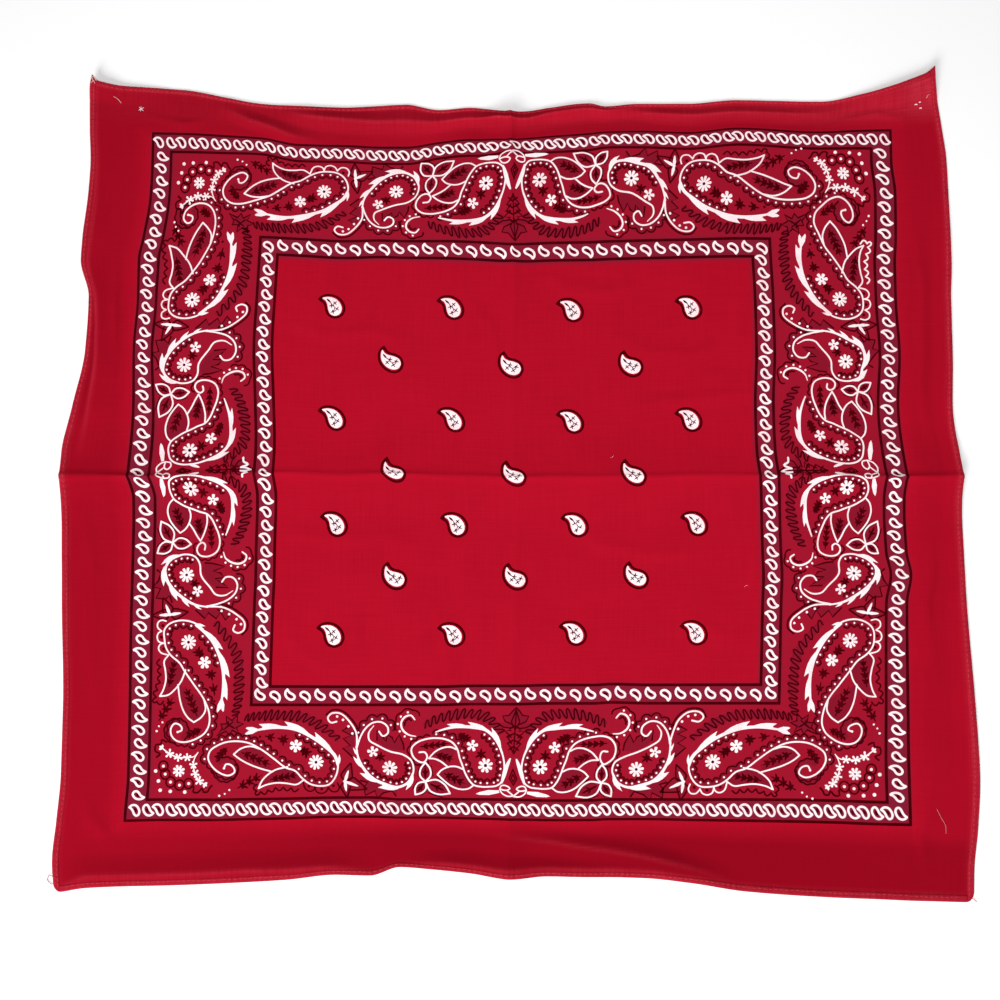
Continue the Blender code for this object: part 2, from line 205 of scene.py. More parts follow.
# Smaller creases, too fine for the solids: little ridges with one steep flank.
CREASE_BOLDNESS = 1.45
CREASES = (
    Fold(((-282, 1), (-238, 0), (-150, 0), (0, 0), (150, 0), (244, 0), (282, 1)),
         (1, 0.9, 0.5, 0.6, 0.5, 0.9, 1), 3.5, 5, 0.9),
    Fold(((0, 261), (0, 222), (1, 150), (0, 60), (0, -60), (0, -216)),
         (0.8, 0.8, 0.4, 0.15, 0.15, 0.2), 4, 3, 0.8),
    Fold(((155, 52), (130, 49), (98, 47), (66, 44)), (0, 0.55, 0.5, 0), 4, 9, 0.5),
    Fold(((-150, 96), (-118, 88), (-92, 90), (-60, 84)), (0, 0.4, 0.5, 0), 9, 4, 0.5),
    Fold(((-30, 118), (-12, 96), (-8, 70), (-12, 44)), (0, 0.5, 0.4, 0), 5, 8, 0.4),
    Fold(((14, 132), (32, 121), (58, 118), (86, 124)), (0, 0.45, 0.5, 0), 8, 4, 0.4),
    Fold(((-148, -30), (-120, -38), (-84, -36), (-52, -44)), (0, 0.5, 0.4, 0), 4, 9, 0.5),
    Fold(((-60, -70), (-44, -92), (-40, -116), (-46, -138)), (0, 0.45, 0.5, 0), 8, 5, 0.4),
    Fold(((30, -28), (52, -44), (84, -50), (122, -48)), (0, 0.5, 0.45, 0), 9, 4, 0.5),
    Fold(((100, -84), (124, -98), (150, -102)), (0, 0.5, 0), 5, 8, 0.4),
    Fold(((-142, -96), (-126, -114), (-104, -124)), (0, 0.4, 0), 8, 4, 0.4),
    Fold(((64, 92), (84, 80), (112, 78), (138, 86)), (0, 0.4, 0.45, 0), 5, 8, 0.4),
    Fold(((-270, -20), (-262, -60), (-264, -110), (-258, -160)), (0.4, 0.9, 0.8, 0), 9, 5, 0.4),
    Fold(((-252, 150), (-256, 110), (-250, 70)), (0, 0.8, 0), 4, 8, 0.4),
    Fold(((256, 170), (262, 120), (258, 60), (264, 20)), (0, 0.7, 0.6, 0), 8, 5, 0.4),
    Fold(((262, -30), (256, -80), (262, -140)), (0, 0.7, 0), 5, 9, 0.4),
    Fold(((-268, -190), (-258, -214), (-240, -236)), (0, 0.9, 0), 6, 10, 0.5),
    Fold(((258, -196), (248, -222), (252, -244)), (0, 0.8, 0), 9, 5, 0.5),
    Fold(((-246, 236), (-214, 230), (-196, 236)), (0, 0.7, 0), 5, 8, 0.5),
    Fold(((206, 232), (232, 236), (256, 230)), (0, 0.9, 0), 8, 5, 0.5),
)


@dataclass(frozen=True)
class Pinch:
    """A place where a crease takes cloth up, so that the cloth beside it looks squashed."""

    u: float
    v: float
    reach_u: float
    reach_v: float
    squash_u: float
    squash_v: float


PINCHES = (
    Pinch(-232, 0, 16, 7, 0, 0.55),
    Pinch(238, 0, 16, 7, 0, 0.50),
    Pinch(-154, 0, 14, 6, 0, 0.45),
    Pinch(158, 0, 14, 6, 0, 0.35),
    Pinch(-74, 1, 18, 7, 0, 0.40),
    Pinch(0, 1, 18, 7, 0, 0.20),
    Pinch(0, 217, 8, 9, 0.15, 0.50),
    Pinch(0, 147, 6, 8, 0.25, 0.10),
)


# How far the border's motifs have shifted as the cloth was laid, in rows of a place along the side,
# the shift along it and the shift in from the frame. A side's halves start at their own corners.
TOP_LEFT_EASE = (
    (40, 0, 2.9), (60, 1.3, 2.9), (102, 0.4, 2), (117, 1, 2.9), (151, 1.4, 2.2), (162, 1.5, 1.6),
    (212, 0, 2.7), (238, 0, 2.2))
TOP_RIGHT_EASE = (
    (40, 0, 0.6), (60, 0.6, 1.9), (75, 1.5, 3.4), (100, 3.6, 4.7), (117, 2.8, 3.7), (140, 2.6, 1.4),
    (162, 2.5, 0.1), (180, 2.4, 0.1), (216, 2.2, 1.2), (238, 0.6, 1.5))
BOTTOM_LEFT_EASE = (
    (40, 0, 2.6), (60, 1.3, 3.4), (80, 2.5, 3.2), (102, 3, 3.8), (117, 0.9, 2.2), (151, 1.1, -1.1),
    (162, 0.5, -1.2), (185, 0.3, 1.5), (212, 0.2, 2.9), (220, 0.8, 3.6), (238, 0, 3))
BOTTOM_RIGHT_EASE = (
    (40, 0, 1), (55, -1, 1.5), (80, 1, 2.5), (102, 2, 2.9), (117, 0.9, 2.3), (151, 1.4, -1.9),
    (162, 1.2, -2.2), (185, 1, 0.5), (212, 1, 1.4), (220, 1.4, 2.9), (238, 0.2, 2.5))
LEFT_TOP_EASE = (
    (40, 0, 0), (60, -1, 0), (80, -2, 0), (90, 2.6, 0), (102, 3.4, 0), (117, 2.2, 0),
    (132, -0.2, 0), (145, 0, 0), (155, 1.9, 0), (162, 2, 0), (180, -0.5, 0), (186, -1.2, 0),
    (195, 0, 0), (212, 3.5, 0), (220, 3.3, 0), (238, 0, 0))
LEFT_BOTTOM_EASE = (
    (40, 0, 0), (60, 0.5, 0), (80, 1.5, 0), (90, 5.2, 0), (102, 6.2, 0), (117, 5.2, 0),
    (132, 4.8, 0), (138, 4.4, 0), (151, 5.4, 0), (162, 5.2, 0), (180, 4.3, 0), (186, 4.2, 0),
    (195, 4.5, 0), (212, 5.8, 0), (220, 5.6, 0), (232, 2.9, 0), (238, 0, 0))
RIGHT_TOP_EASE = (
    (40, 0, 0), (60, -1, 0), (83, -1, -0.4), (95, 1, -0.6), (102, 1.6, -0.6), (117, 0.4, -1),
    (132, -1, 0), (151, -1.7, 0), (162, -1.5, 0), (175, -2.3, 0), (186, -4, -0.8), (195, -3, 0),
    (205, -0.5, 0), (212, 0.9, 0), (220, 0.6, 0.3), (238, 0, 0))
RIGHT_BOTTOM_EASE = (
    (40, 0, 0), (60, 0, 0), (80, 0.3, -0.3), (90, 4.4, -0.6), (102, 6.4, -1.4), (117, 5.1, -2),
    (132, 4.4, -1.4), (138, 4.8, -0.4), (151, 5.6, 0.6), (162, 5.4, 0.8), (178, 3.8, 1.2), (186, 2.5, 0.2),
    (195, 4, 0), (212, 6.5, -0.4), (220, 6.4, -0.6), (232, 3.2, 0), (238, 0, 0))
EASE_DEPTHS = (0, 15, 33, 55, 69.5)
EASE_SHARES = (0.4, 0.83, 1, 0.62, 0)

# The upright sides are wider, and their motifs keep their own widths: shifts in from the frame, in rows
# of a place along the side and the shift at each of the depths.
UPRIGHT_DEPTHS = (0, 14, 20, 33, 43, 55, 69.5)
UPRIGHT_SHIFTS = (
    (50, 0, 0, -0.5, -1, -1, 0, 0),
    (95, 0, 1, 1, 0.5, 0.6, -0.4, 0),
    (120, 0, 1.5, 1, 0.4, 0.6, -0.4, 0),
    (134, 0, 0, -0.8, -1.3, -1, 0, 0),
    (150, 0, 0, 0, -1.2, -2.2, -0.5, 0),
    (172, 0, 0, 0, -1.2, -2.4, -0.5, 0),
    (184, 0, -0.5, -1.6, -1.6, -1, -0.5, 0),
    (200, 0, 1, 1.5, 1, 0.5, 0.5, 0),
    (212, 0, 3.5, 4, 3, 2, 1.6, 0),
    (238, 0, 4.5, 5, 3.5, 2, 1.6, 0),
)


# Small local shifts of the print in each half side, in rows of the place along and in, how far the
# shift spreads along and in, and the shift along and in.
TOP_LEFT_NUDGES = (
    (220, 17, 12, 7, 0, 1.5), (232, 13, 12, 5, -1.7, 0.4))
TOP_RIGHT_NUDGES = (
    (83, 17.4, 5, 5, -3, 0), (64.4, 39.2, 5, 5, 0, -2.3), (58, 45, 9, 6, 0, -1.3),
    (162, 19, 13, 7, 0, 4.2), (162, 44, 9, 5, 0, -1.5), (154, 58, 7, 6, 2, 0), (131, 62, 9, 7, 1.8, -1.2),
    (182, 48, 9, 6, 0, -3), (178.2, 13.6, 5, 4, 0, 2.8), (220, 17, 12, 7, 0, 1.6),
    (232, 13, 12, 5, 1.7, 0.4))
BOTTOM_LEFT_NUDGES = (
    (55, 45, 8, 7, 0, -1.3), (71, 45, 9, 6, 0, 1.7), (64.4, 39.2, 7, 5, 1, -1.5), (83, 17.4, 5, 5, -2.8, 0),
    (131, 30, 6, 12, -1.9, 0), (136.4, 24, 5, 5, -1, -0.8), (161, 20, 13, 8, 0, 3.3), (182, 48, 9, 6, 0, -1.9),
    (185.6, 24.4, 5, 5, -1.1, -1.1), (178.2, 13.6, 4, 4, 0, 2.2), (184.4, 37, 4, 4, 0, -1.4),
    (220, 17, 12, 7, 0, 1.9), (232, 13, 12, 5, 0, 1.8))
BOTTOM_RIGHT_NUDGES = (
    (55, 45, 8, 7, 0, -1.8), (70, 45, 9, 6, 0, 1.8), (64.4, 39.2, 7, 5, 1.7, -1.4), (83, 17.4, 5, 5, -2.2, 0),
    (131, 30, 6, 12, -1.1, 0), (136.4, 24, 5, 5, -1.6, 0), (142, 46, 6, 6, 1.4, 2.6), (133, 62, 9, 8, 3.2, 0),
    (161, 20, 13, 8, 0, 3.8), (172, 40, 8, 5, 0, -1.8), (185.6, 24.4, 5, 5, -1.7, -1.3),
    (178.2, 13.6, 4, 4, 0, 1.7), (184.4, 37, 4, 4, -1, -2.4), (220, 17, 12, 7, 0, 1.9),
    (232, 13, 12, 5, 0, 1.8))
UPRIGHT_NUDGES = (
    (225, 17, 12, 6, 0, 2.3), (196, 46, 9, 6, 0, -2.2), (183, 37.5, 5, 4, 0, 2.6), (162, 44, 8, 5, 0, -1.9),
    (228, 12, 14, 3.5, 0, 1))
LEFT_TOP_NUDGES = UPRIGHT_NUDGES + (
    (62, 46, 10, 6, 0, -2), (50, 34, 9, 8, 1.5, 0), (61, 29, 5, 5, 0, -3.2), (83, 17.4, 7, 5, -1.6, -0.6),
    (64.4, 39.2, 7, 5, 1.4, -2.6),
    (96, 30, 8, 6, 0, 3.2), (86, 36, 7, 6, 0, 1.8), (173, 59, 8, 7, 2, 1.9), (178.2, 13.6, 4, 4, 0, 1.2))
LEFT_BOTTOM_NUDGES = UPRIGHT_NUDGES + (
    (50, 35, 9, 12, 4, 0), (64.4, 39.2, 8, 5, 2.6, -1.4), (96, 30, 8, 6, 0, 2.4), (84, 38, 8, 6, 0, 2.6),
    (72, 44, 9, 6, 0, 3), (128, 28, 8, 14, 0, -1.5), (173, 59, 8, 7, 2, 1.9), (178.2, 13.6, 4, 4, 0, 1.2))
RIGHT_TOP_NUDGES = UPRIGHT_NUDGES + (
    (62, 30, 5, 5, -3, 0), (62, 46, 8, 6, 0, 1), (50, 34, 9, 8, -2, 0), (64.4, 39.2, 7, 5, 0.2, -1.6),
    (83, 17.4, 7, 5, -2.6, 1.2), (96, 30, 8, 6, 0, 1.4),
    (152, 24, 7, 7, 0, -2), (167, 19, 7, 6, 0, 2.8), (173, 59, 8, 7, 0, 2.3), (178.2, 13.6, 5, 4, 0, 3.6),
    (185.6, 24.4, 5, 5, 0, 1.4))
RIGHT_BOTTOM_NUDGES = UPRIGHT_NUDGES + (
    (50, 35, 9, 12, 2.4, 0), (61, 30, 4, 4, 0.8, 1.5), (64.4, 39.2, 8, 5, 2.4, -1.4), (96, 30, 8, 6, 0, 3),
    (84, 38, 8, 6, 0, 3.4), (72, 44, 9, 6, 0, 2.8), (173, 59, 8, 7, 0, 2.2), (178.2, 13.6, 5, 4, 0, 2.6))


# ---------------------------------------------------------------- curves and the laid cloth
def smooth_through(stations: Array, values: Array, at: Array) -> Array:
    """Value at each point of a smooth curve through the stations that never overshoots them.

    Args:
        stations: rising stations of the curve.
        values: one row of station values for each point, or a single row for all of them.
        at: where the curve is read.

    Returns:
        The curve's value at each point.
    """
    values = np.broadcast_to(values, (len(at), len(stations)))
    steps = np.diff(stations)
    rises = np.diff(values, axis=1) / steps
    slopes = np.zeros(values.shape)
    before = rises[:, :-1]
    after = rises[:, 1:]
    same_way = before * after > 0.0
    total = np.where(same_way, before + after, 1.0)
    slopes[:, 1:-1] = np.where(same_way, 2.0 * before * after / total, 0.0)
    slopes[:, 0] = rises[:, 0]
    slopes[:, -1] = rises[:, -1]
    index = np.clip(np.searchsorted(stations, at, side="right") - 1, 0, len(steps) - 1)
    rows = np.arange(len(at))
    step = steps[index]
    part = np.clip((at - stations[index]) / step, 0.0, 1.0)
    start = values[rows, index]
    rise = values[rows, index + 1] - start
    lean_in = slopes[rows, index] * step
    lean_out = slopes[rows, index + 1] * step
    curve = 3.0 * rise - 2.0 * lean_in - lean_out
    twist = lean_in + lean_out - 2.0 * rise
    return start + part * (lean_in + part * (curve + part * twist))


def table_columns(sections: Points) -> tuple[Array, Array]:
    """Split a section table.

    Args:
        sections: rows of a station and its places.

    Returns:
        The rising stations, and the rows of places that go with them.
    """
    rows = np.array(sorted(tuple(section) for section in sections), dtype=float)
    return rows[:, 0], rows[:, 1:]


def fold_height(fold: Fold, u: Array, v: Array) -> Array:
    """How high one fold lifts each point of the cut.

    Args:
        fold: the fold.
        u: places across the cut.
        v: places up the cut.

    Returns:
        The lift at each point.
    """
    nearest = np.full(len(u), np.inf)
    height = np.zeros(len(u))
    side = np.zeros(len(u))
    joints = zip(fold.line[:-1], fold.line[1:], fold.heights[:-1], fold.heights[1:])
    for (start_u, start_v), (end_u, end_v), start_height, end_height in joints:
        run_u = end_u - start_u
        run_v = end_v - start_v
        part = ((u - start_u) * run_u + (v - start_v) * run_v) / (run_u ** 2 + run_v ** 2)
        part = np.clip(part, 0.0, 1.0)
        off_u = u - (start_u + part * run_u)
        off_v = v - (start_v + part * run_v)
        distance = np.hypot(off_u, off_v)
        closer = distance < nearest
        nearest = np.where(closer, distance, nearest)
        height = np.where(closer, start_height + part * (end_height - start_height), height)
        side = np.where(closer, run_u * off_v - run_v * off_u, side)
    reach = np.where(side > 0.0, fold.reach_left, fold.reach_right)
    rest = np.clip(1.0 - nearest / reach, 0.0, 1.0)
    soft = rest ** 2 * (3.0 - 2.0 * rest)
    return height * ((1.0 - fold.crest) * soft + fold.crest * rest ** 2)


def stretches(rows: Sequence[tuple[float, float, int]]) -> Array:
    """Grid lines of a run of stretches.

    Args:
        rows: start, end and number of cells of each stretch.

    Returns:
        Every grid line, from the first start to the last end.
    """
    lines = [rows[0][0]]
    for start, end, cells in rows:
        lines.extend(start + (end - start) * cell / cells for cell in range(1, cells + 1))
    return np.array(lines)


@dataclass
class LaidCloth:
    """Where the cloth lies: its mapping from the cut, and the fine grid that its sheet is built on."""

    thickness: float = 0.38
    panel_half_width: float = 279.4
    panel_half_height: float = 258.4
    ripple: float = 0.22
    u_lines: Array = field(init=False, repr=False)
    v_lines: Array = field(init=False, repr=False)
    grid: Array = field(init=False, repr=False)

    def __post_init__(self) -> None:
        """Lay the fine grid."""
        across = self.panel_half_width
        down = self.panel_half_height
        self.u_lines = stretches((
            (-across, -262, 12), (-262, -232, 16), (-232, -14, 75), (-14, 14, 16), (14, 236, 76),
            (236, 264, 15), (264, across, 11)))
        self.v_lines = stretches((
            (-down, -240, 12), (-240, -216, 11), (-216, -20, 65), (-20, 20, 26), (20, 210, 62),
            (210, 240, 16), (240, down, 13)))
        grid_u, grid_v = np.meshgrid(self.u_lines, self.v_lines)
        x, y, lift = self.lay(grid_u.ravel(), grid_v.ravel())
        self.grid = np.stack((x, y, lift), axis=1).reshape(len(self.v_lines), len(self.u_lines), 3)

    def round_corners(self, u: Array, v: Array) -> tuple[Array, Array]:
        """Draw the cut's bottom corners in from square to round.

        Args:
            u: places across the cut.
            v: places up the cut.

        Returns:
            The places with the corners rounded.
        """
        for side_u, side_v in ROUNDED_CORNERS:
            near_u = 1.0 - (HALF_WIDTH - u * side_u) / CORNER_ROUND
            near_v = 1.0 - (HALF_HEIGHT - v * side_v) / CORNER_ROUND
            inside = (near_u > 0.0) & (near_v > 0.0)
            round_u = near_u * np.sqrt(np.clip(1.0 - near_v ** 2 / 2.0, 0.0, 1.0))
            round_v = near_v * np.sqrt(np.clip(1.0 - near_u ** 2 / 2.0, 0.0, 1.0))
            u = np.where(inside, side_u * (HALF_WIDTH - CORNER_ROUND * (1.0 - round_u)), u)
            v = np.where(inside, side_v * (HALF_HEIGHT - CORNER_ROUND * (1.0 - round_v)), v)
        return u, v

    def lay(self, u: Array, v: Array) -> tuple[Array, Array, Array]:
        """Place points of the cut on the table.

        Args:
            u: places across the cut.
            v: places up the cut.

        Returns:
            x, y and the lift of the cloth's underside at each point.
        """
        u, v = self.round_corners(np.asarray(u, dtype=float), np.asarray(v, dtype=float))
        lift = np.zeros(len(u))
        for fold in FOLDS:
            lift = lift + fold_height(fold, u, v)
        for fold in CREASES:
            lift = lift + CREASE_BOLDNESS * fold_height(fold, u, v)
        lift = lift + self.ripples(u, v)
        pinched_u, pinched_v = self.pinch(u, v)
        across_lines = np.array(
            (-HALF_WIDTH, FRAME_LEFT, FIELD_LEFT, FIELD_RIGHT, FRAME_RIGHT, HALF_WIDTH))
        down_lines = np.array(
            (-HALF_HEIGHT, FRAME_BOTTOM, FIELD_BOTTOM, FIELD_TOP, FRAME_TOP, HALF_HEIGHT))
        v_stations, across = table_columns(ACROSS_SECTIONS)
        u_stations, down = table_columns(DOWN_SECTIONS)
        across_places = np.stack([smooth_through(v_stations, row, v) for row in across.T], axis=1)
        down_places = np.stack([smooth_through(u_stations, row, u) for row in down[:, ::-1].T], axis=1)
        x = smooth_through(across_lines, across_places, pinched_u)
        y = smooth_through(down_lines, down_places, pinched_v)
        for tip_u, tip_v, pull_x, pull_y, reach in ((-282, 261, 1.0, 3.6, 7.0), (282, 261, 1.0, 3.0, 9.0)):
            pull = np.clip(1.0 - np.hypot(u - tip_u, v - tip_v) / reach, 0.0, 1.0) ** 2
            x = x + pull * pull_x
            y = y + pull * pull_y
        return x, y, lift

    def pinch(self, u: Array, v: Array) -> tuple[Array, Array]:
        """Draw the cloth together where a crease takes it up.

        Args:
            u: places across the cut.
            v: places up the cut.

        Returns:
            The places after the pinches.
        """
        drawn_u = u.copy()
        drawn_v = v.copy()
        for row in PINCHES:
            off_u = (u - row.u) / row.reach_u
            off_v = (v - row.v) / row.reach_v
            near = np.exp(-off_u ** 2 - off_v ** 2)
            drawn_u = drawn_u - row.squash_u * (u - row.u) * near
            drawn_v = drawn_v - row.squash_v * (v - row.v) * near
        return drawn_u, drawn_v

    def ripples(self, u: Array, v: Array) -> Array:
        """Low uneven ripples of cloth that has been folded and laid out again.

        Args:
            u: places across the cut.
            v: places up the cut.

        Returns:
            The lift at each point, never below the table.
        """
        waves = (
            np.sin(u / 31.0 + 0.8 * np.sin(v / 57.0)) * np.sin(v / 43.0 + 1.3)
            + 0.6 * np.sin(u / 17.0 - v / 39.0 + 0.5)
            + 0.5 * np.sin(v / 19.0 + 0.9 * np.sin(u / 47.0))
        )
        return self.ripple * np.clip(waves + 0.4, 0.0, 3.0) ** 1.5

    def on_sheet(self, u: Array, v: Array, above: float) -> Array:
        """Points on the facets of the sheet's top.

        Args:
            u: places across the cut.
            v: places up the cut.
            above: how far over the top the points are.

        Returns:
            Points in metres.
        """
        column = np.clip(np.searchsorted(self.u_lines, u, side="right") - 1, 0, len(self.u_lines) - 2)
        row = np.clip(np.searchsorted(self.v_lines, v, side="right") - 1, 0, len(self.v_lines) - 2)
        part_u = (u - self.u_lines[column]) / (self.u_lines[column + 1] - self.u_lines[column])
        part_v = (v - self.v_lines[row]) / (self.v_lines[row + 1] - self.v_lines[row])
        low = self.grid[row, column]
        right = self.grid[row, column + 1]
        top = self.grid[row + 1, column]
        far = self.grid[row + 1, column + 1]
        a = part_u[:, None]
        b = part_v[:, None]
        under_diagonal = low + a * (right - low) + b * (far - right)
        over_diagonal = low + b * (top - low) + a * (far - top)
        points = np.where(a >= b, under_diagonal, over_diagonal)
        points[:, 2] += self.thickness + above
        return points * METRES


# ---------------------------------------------------------------- finishes
class Nodes:
    """A small helper that wires a material's nodes."""

    def __init__(self, name: str) -> None:
        """Start a material with a Principled shader."""
        self.material = bpy.data.materials.new(name)
        self.material.use_nodes = True
        self.tree = self.material.node_tree
        self.shader = self.tree.nodes["Principled BSDF"]

    def node(self, kind: str, links: dict[str, object] | None = None, **settings: object) -> bpy.types.Node:
        """Add a node.

        Args:
            kind: the node's type.
            links: for each named input, a socket to link or a value to set.
            settings: attributes of the node.

        Returns:
            The node.
        """
        made = self.tree.nodes.new(kind)
        for key, value in settings.items():
            setattr(made, key, value)
        self.feed(made, links or {})
        return made

    def feed(self, node: bpy.types.Node, links: dict[str, object]) -> None:
        """Link a socket, or set a value, for each named input of a node."""
        for name, value in links.items():
            socket = node.inputs[int(name)] if name.isdigit() else node.inputs[name]
            if isinstance(value, Socket):
                self.tree.links.new(value, socket)
            else:
                socket.default_value = value

    def dress(self, base: object, roughness: float, gloss: float = 0.0) -> bpy.types.Material:
        """Set the shader's colour, roughness and gloss; the material is then done."""
        self.feed(self.shader, {"Base Color": base, "Roughness": roughness, "Specular IOR Level": gloss})
        return self.material

    def carried(self, name: str) -> Socket:
        """The number that the mesh carries under a name."""
        return self.node("ShaderNodeAttribute", attribute_name=name).outputs["Fac"]

    def maths(self, operation: str, first: object, second: object = 0.0) -> Socket:
        """Output of a maths node on two sockets or values."""
        return self.node("ShaderNodeMath", {"0": first, "1": second}, operation=operation).outputs[0]

    def noise(self, vector: Socket, scale: float, detail: float) -> Socket:
        """Noise from 0 to 1 at a scale."""
        links = {"Vector": vector, "Scale": scale, "Detail": detail, "Roughness": 0.6}
        return self.node("ShaderNodeTexNoise", links).outputs["Fac"]

    def stretched(self, vector: Socket, along: float, across: float) -> Socket:
        """The vector scaled unevenly, for streaks along the threads."""
        links = {"Vector": vector, "Scale": (along, across, 1.0)}
        return self.node("ShaderNodeMapping", links).outputs["Vector"]

    def tinted(self, factor: object, first: object, second: object, blend: str = "MIX") -> Socket:
        """Mix two colours by a factor."""
        links = {"0": factor, "6": first, "7": second}
        return self.node("ShaderNodeMix", links, data_type="RGBA", blend_type=blend).outputs[2]

    def remap(self, value: Socket, low: float, high: float, to_low: float,
              to_high: float) -> Socket:
        """Map a value from one range to another, clamped."""
        links = {"0": value, "1": low, "2": high, "3": to_low, "4": to_high}
        return self.node("ShaderNodeMapRange", links).outputs[0]

    def weave(self) -> tuple[Socket, Socket]:
        """Plain weave on the cut.

        Returns:
            The cut's coordinates, and the weave's height from 0 to 1.
        """
        cut = self.node("ShaderNodeUVMap", uv_map="Cut").outputs["UV"]
        parts = self.node("ShaderNodeSeparateXYZ", {"Vector": cut})
        wander = self.maths("MULTIPLY", self.noise(cut, 90.0, 2.0), 0.0012)
        heights = []
        for axis in (0, 1):
            place = self.maths("ADD", parts.outputs[axis], wander)
            turn = self.maths("MULTIPLY", place, THREADS_PER_METRE * math.pi)
            heights.append(self.maths("ABSOLUTE", self.maths("SINE", turn)))
        return cut, self.maths("MAXIMUM", heights[0], heights[1])

    def blended(self, first: object, first_share: float, second: object, second_share: float) -> Socket:
        """The sum of two values, each times its share."""
        return self.maths(
            "ADD", self.maths("MULTIPLY", first, first_share), self.maths("MULTIPLY", second, second_share))

    def bump(self, height: Socket, distance: float, strength: float) -> None:
        """Drive the shader's normal from a height."""
        made = self.node("ShaderNodeBump", {"Height": height, "Distance": distance, "Strength": strength})
        self.feed(self.shader, {"Normal": made.outputs["Normal"]})


@dataclass(frozen=True)
class CottonFinish:
    """Red plain-weave cotton: mottled dye, slubs, colour worn away and painted sheen where the cloth is
    creased, painted shadow in the weave's hollows, and painted shade over the margins.
    """

    name: str = "red_cotton"
    colour: tuple[float, float, float] = (0.410, 0.0042, 0.0180)
    deep: tuple[float, float, float] = (0.300, 0.0030, 0.0130)
    # lighter colour of wear and painted sheen
    worn_and_sheen: tuple[float, float, float] = (0.520, 0.0300, 0.0560)
    tinted: tuple[float, float, float] = (0.185, 0.0110, 0.0300)
    # painted shade for the margins
    shaded: tuple[float, float, float] = (0.235, 0.0021, 0.0095)
    roughness: float = 0.88

    def build(self) -> bpy.types.Material:
        """Make the material."""
        nodes = Nodes(self.name)
        cut, weave = nodes.weave()
        slub_along = nodes.noise(nodes.stretched(cut, 26.0, 1250.0), 1.0, 2.0)
        slub_up = nodes.noise(nodes.stretched(cut, 1250.0, 26.0), 1.0, 2.0)
        mottle = nodes.noise(cut, 34.0, 4.0)
        patch = nodes.noise(cut, 9.0, 2.0)
        slubs = nodes.maths("ADD", slub_along, slub_up)
        mixed = nodes.blended(nodes.blended(slubs, 0.36, mottle, 0.24), 1.0, patch, 0.10)
        shade = nodes.remap(mixed, 0.36, 0.68, 0.62, 0.0)
        base = nodes.tinted(shade, (*self.colour, 1.0), (*self.deep, 1.0))
        # painted shade: the margins' red darkened toward the shaded colour
        base = nodes.tinted(nodes.carried("shaded"), base, (*self.shaded, 1.0))
        base = nodes.tinted(nodes.carried("tint"), base, (*self.tinted, 1.0))
        # wear with painted sheen: the lighter worn colour, patchy along the slubs
        patchy = nodes.maths("MULTIPLY", nodes.carried("wear_and_sheen"), nodes.remap(slubs, 0.80, 1.15, 0.35, 1.0))
        base = nodes.tinted(patchy, base, (*self.worn_and_sheen, 1.0))
        shadow = nodes.remap(weave, 0.45, 1.0, 0.86, 1.03)
        base = nodes.tinted(1.0, base, nodes.node("ShaderNodeCombineColor", {
            "Red": shadow, "Green": shadow, "Blue": shadow}).outputs[0], "MULTIPLY")
        nodes.bump(nodes.blended(weave, 0.6, slubs, 0.55), 0.00012, 0.55)
        return nodes.dress(base, self.roughness)


@dataclass(frozen=True)
class InkFinish:
    """Printed ink that has sunk into the weave and lets a little of the cloth through."""

    name: str
    colour: tuple[float, float, float]
    through: tuple[float, float, float]
    most_through: float
    roughness: float = 0.85

    def build(self) -> bpy.types.Material:
        """Make the material."""
        nodes = Nodes(self.name)
        cut, weave = nodes.weave()
        grain = nodes.noise(cut, 1500.0, 2.0)
        patch = nodes.noise(cut, 60.0, 3.0)
        share = nodes.remap(nodes.blended(grain, 0.6, patch, 0.4), 0.46, 0.70, 0.0, self.most_through)
        nodes.bump(nodes.maths("ADD", weave, grain), 0.0001, 0.4)
        return nodes.dress(nodes.tinted(share, (*self.colour, 1.0), (*self.through, 1.0)), self.roughness)


@dataclass(frozen=True)
class ThreadFinish:
    """Spun cotton thread, a little lighter where it is rubbed."""

    name: str
    colour: tuple[float, float, float]
    rubbed: tuple[float, float, float]
    roughness: float = 0.8

    def build(self) -> bpy.types.Material:
        """Make the material."""
        nodes = Nodes(self.name)
        place = nodes.node("ShaderNodeTexCoord").outputs["Object"]
        twist = nodes.noise(place, 2400.0, 2.0)
        share = nodes.remap(twist, 0.40, 0.65, 0.0, 1.0)
        nodes.bump(twist, 0.00005, 0.5)
        return nodes.dress(nodes.tinted(share, (*self.colour, 1.0), (*self.rubbed, 1.0)), self.roughness, 0.5)


@dataclass(frozen=True)
class FloorFinish:
    """A plain white table top."""

    colour: tuple[float, float, float] = (0.93, 0.93, 0.93)

    def build(self) -> bpy.types.Material:
        """Make the material."""
        return Nodes("white_table").dress((*self.colour, 1.0), 0.9, 0.1)


# ---------------------------------------------------------------- meshes
def new_piece(name: str, points: Array, faces: Sequence[Sequence[int]],
              material: bpy.types.Material) -> Piece:
    """Make a smooth-shaded mesh object.

    Args:
        name: the piece's name.
        points: its vertices, in metres.
        faces: vertex indices of each face.
        material: its finish.

    Returns:
        The object, linked to the scene.
    """
    mesh = bpy.data.meshes.new(name)
    corners = [tuple(point) for point in np.asarray(points, dtype=float)]
    mesh.from_pydata(corners, [], [tuple(face) for face in faces])
    mesh.update()
    mesh.shade_smooth()
    mesh.materials.append(material)
    piece = bpy.data.objects.new(name, mesh)
    bpy.context.scene.collection.objects.link(piece)
    return piece


def set_uv(piece: Piece, name: str, places: Array) -> None:
    """Give a mesh a UV map.

    Args:
        piece: the mesh object.
        name: the map's name.
        places: one UV for each vertex, or one for each face corner.
    """
    mesh = piece.data
    corners = np.zeros(len(mesh.loops), dtype=np.int32)
    mesh.loops.foreach_get("vertex_index", corners)
    values = places if len(places) == len(corners) else places[corners]
    layer = mesh.uv_layers.new(name=name)
    layer.data.foreach_set("uv", np.asarray(values, dtype=np.float32).ravel())


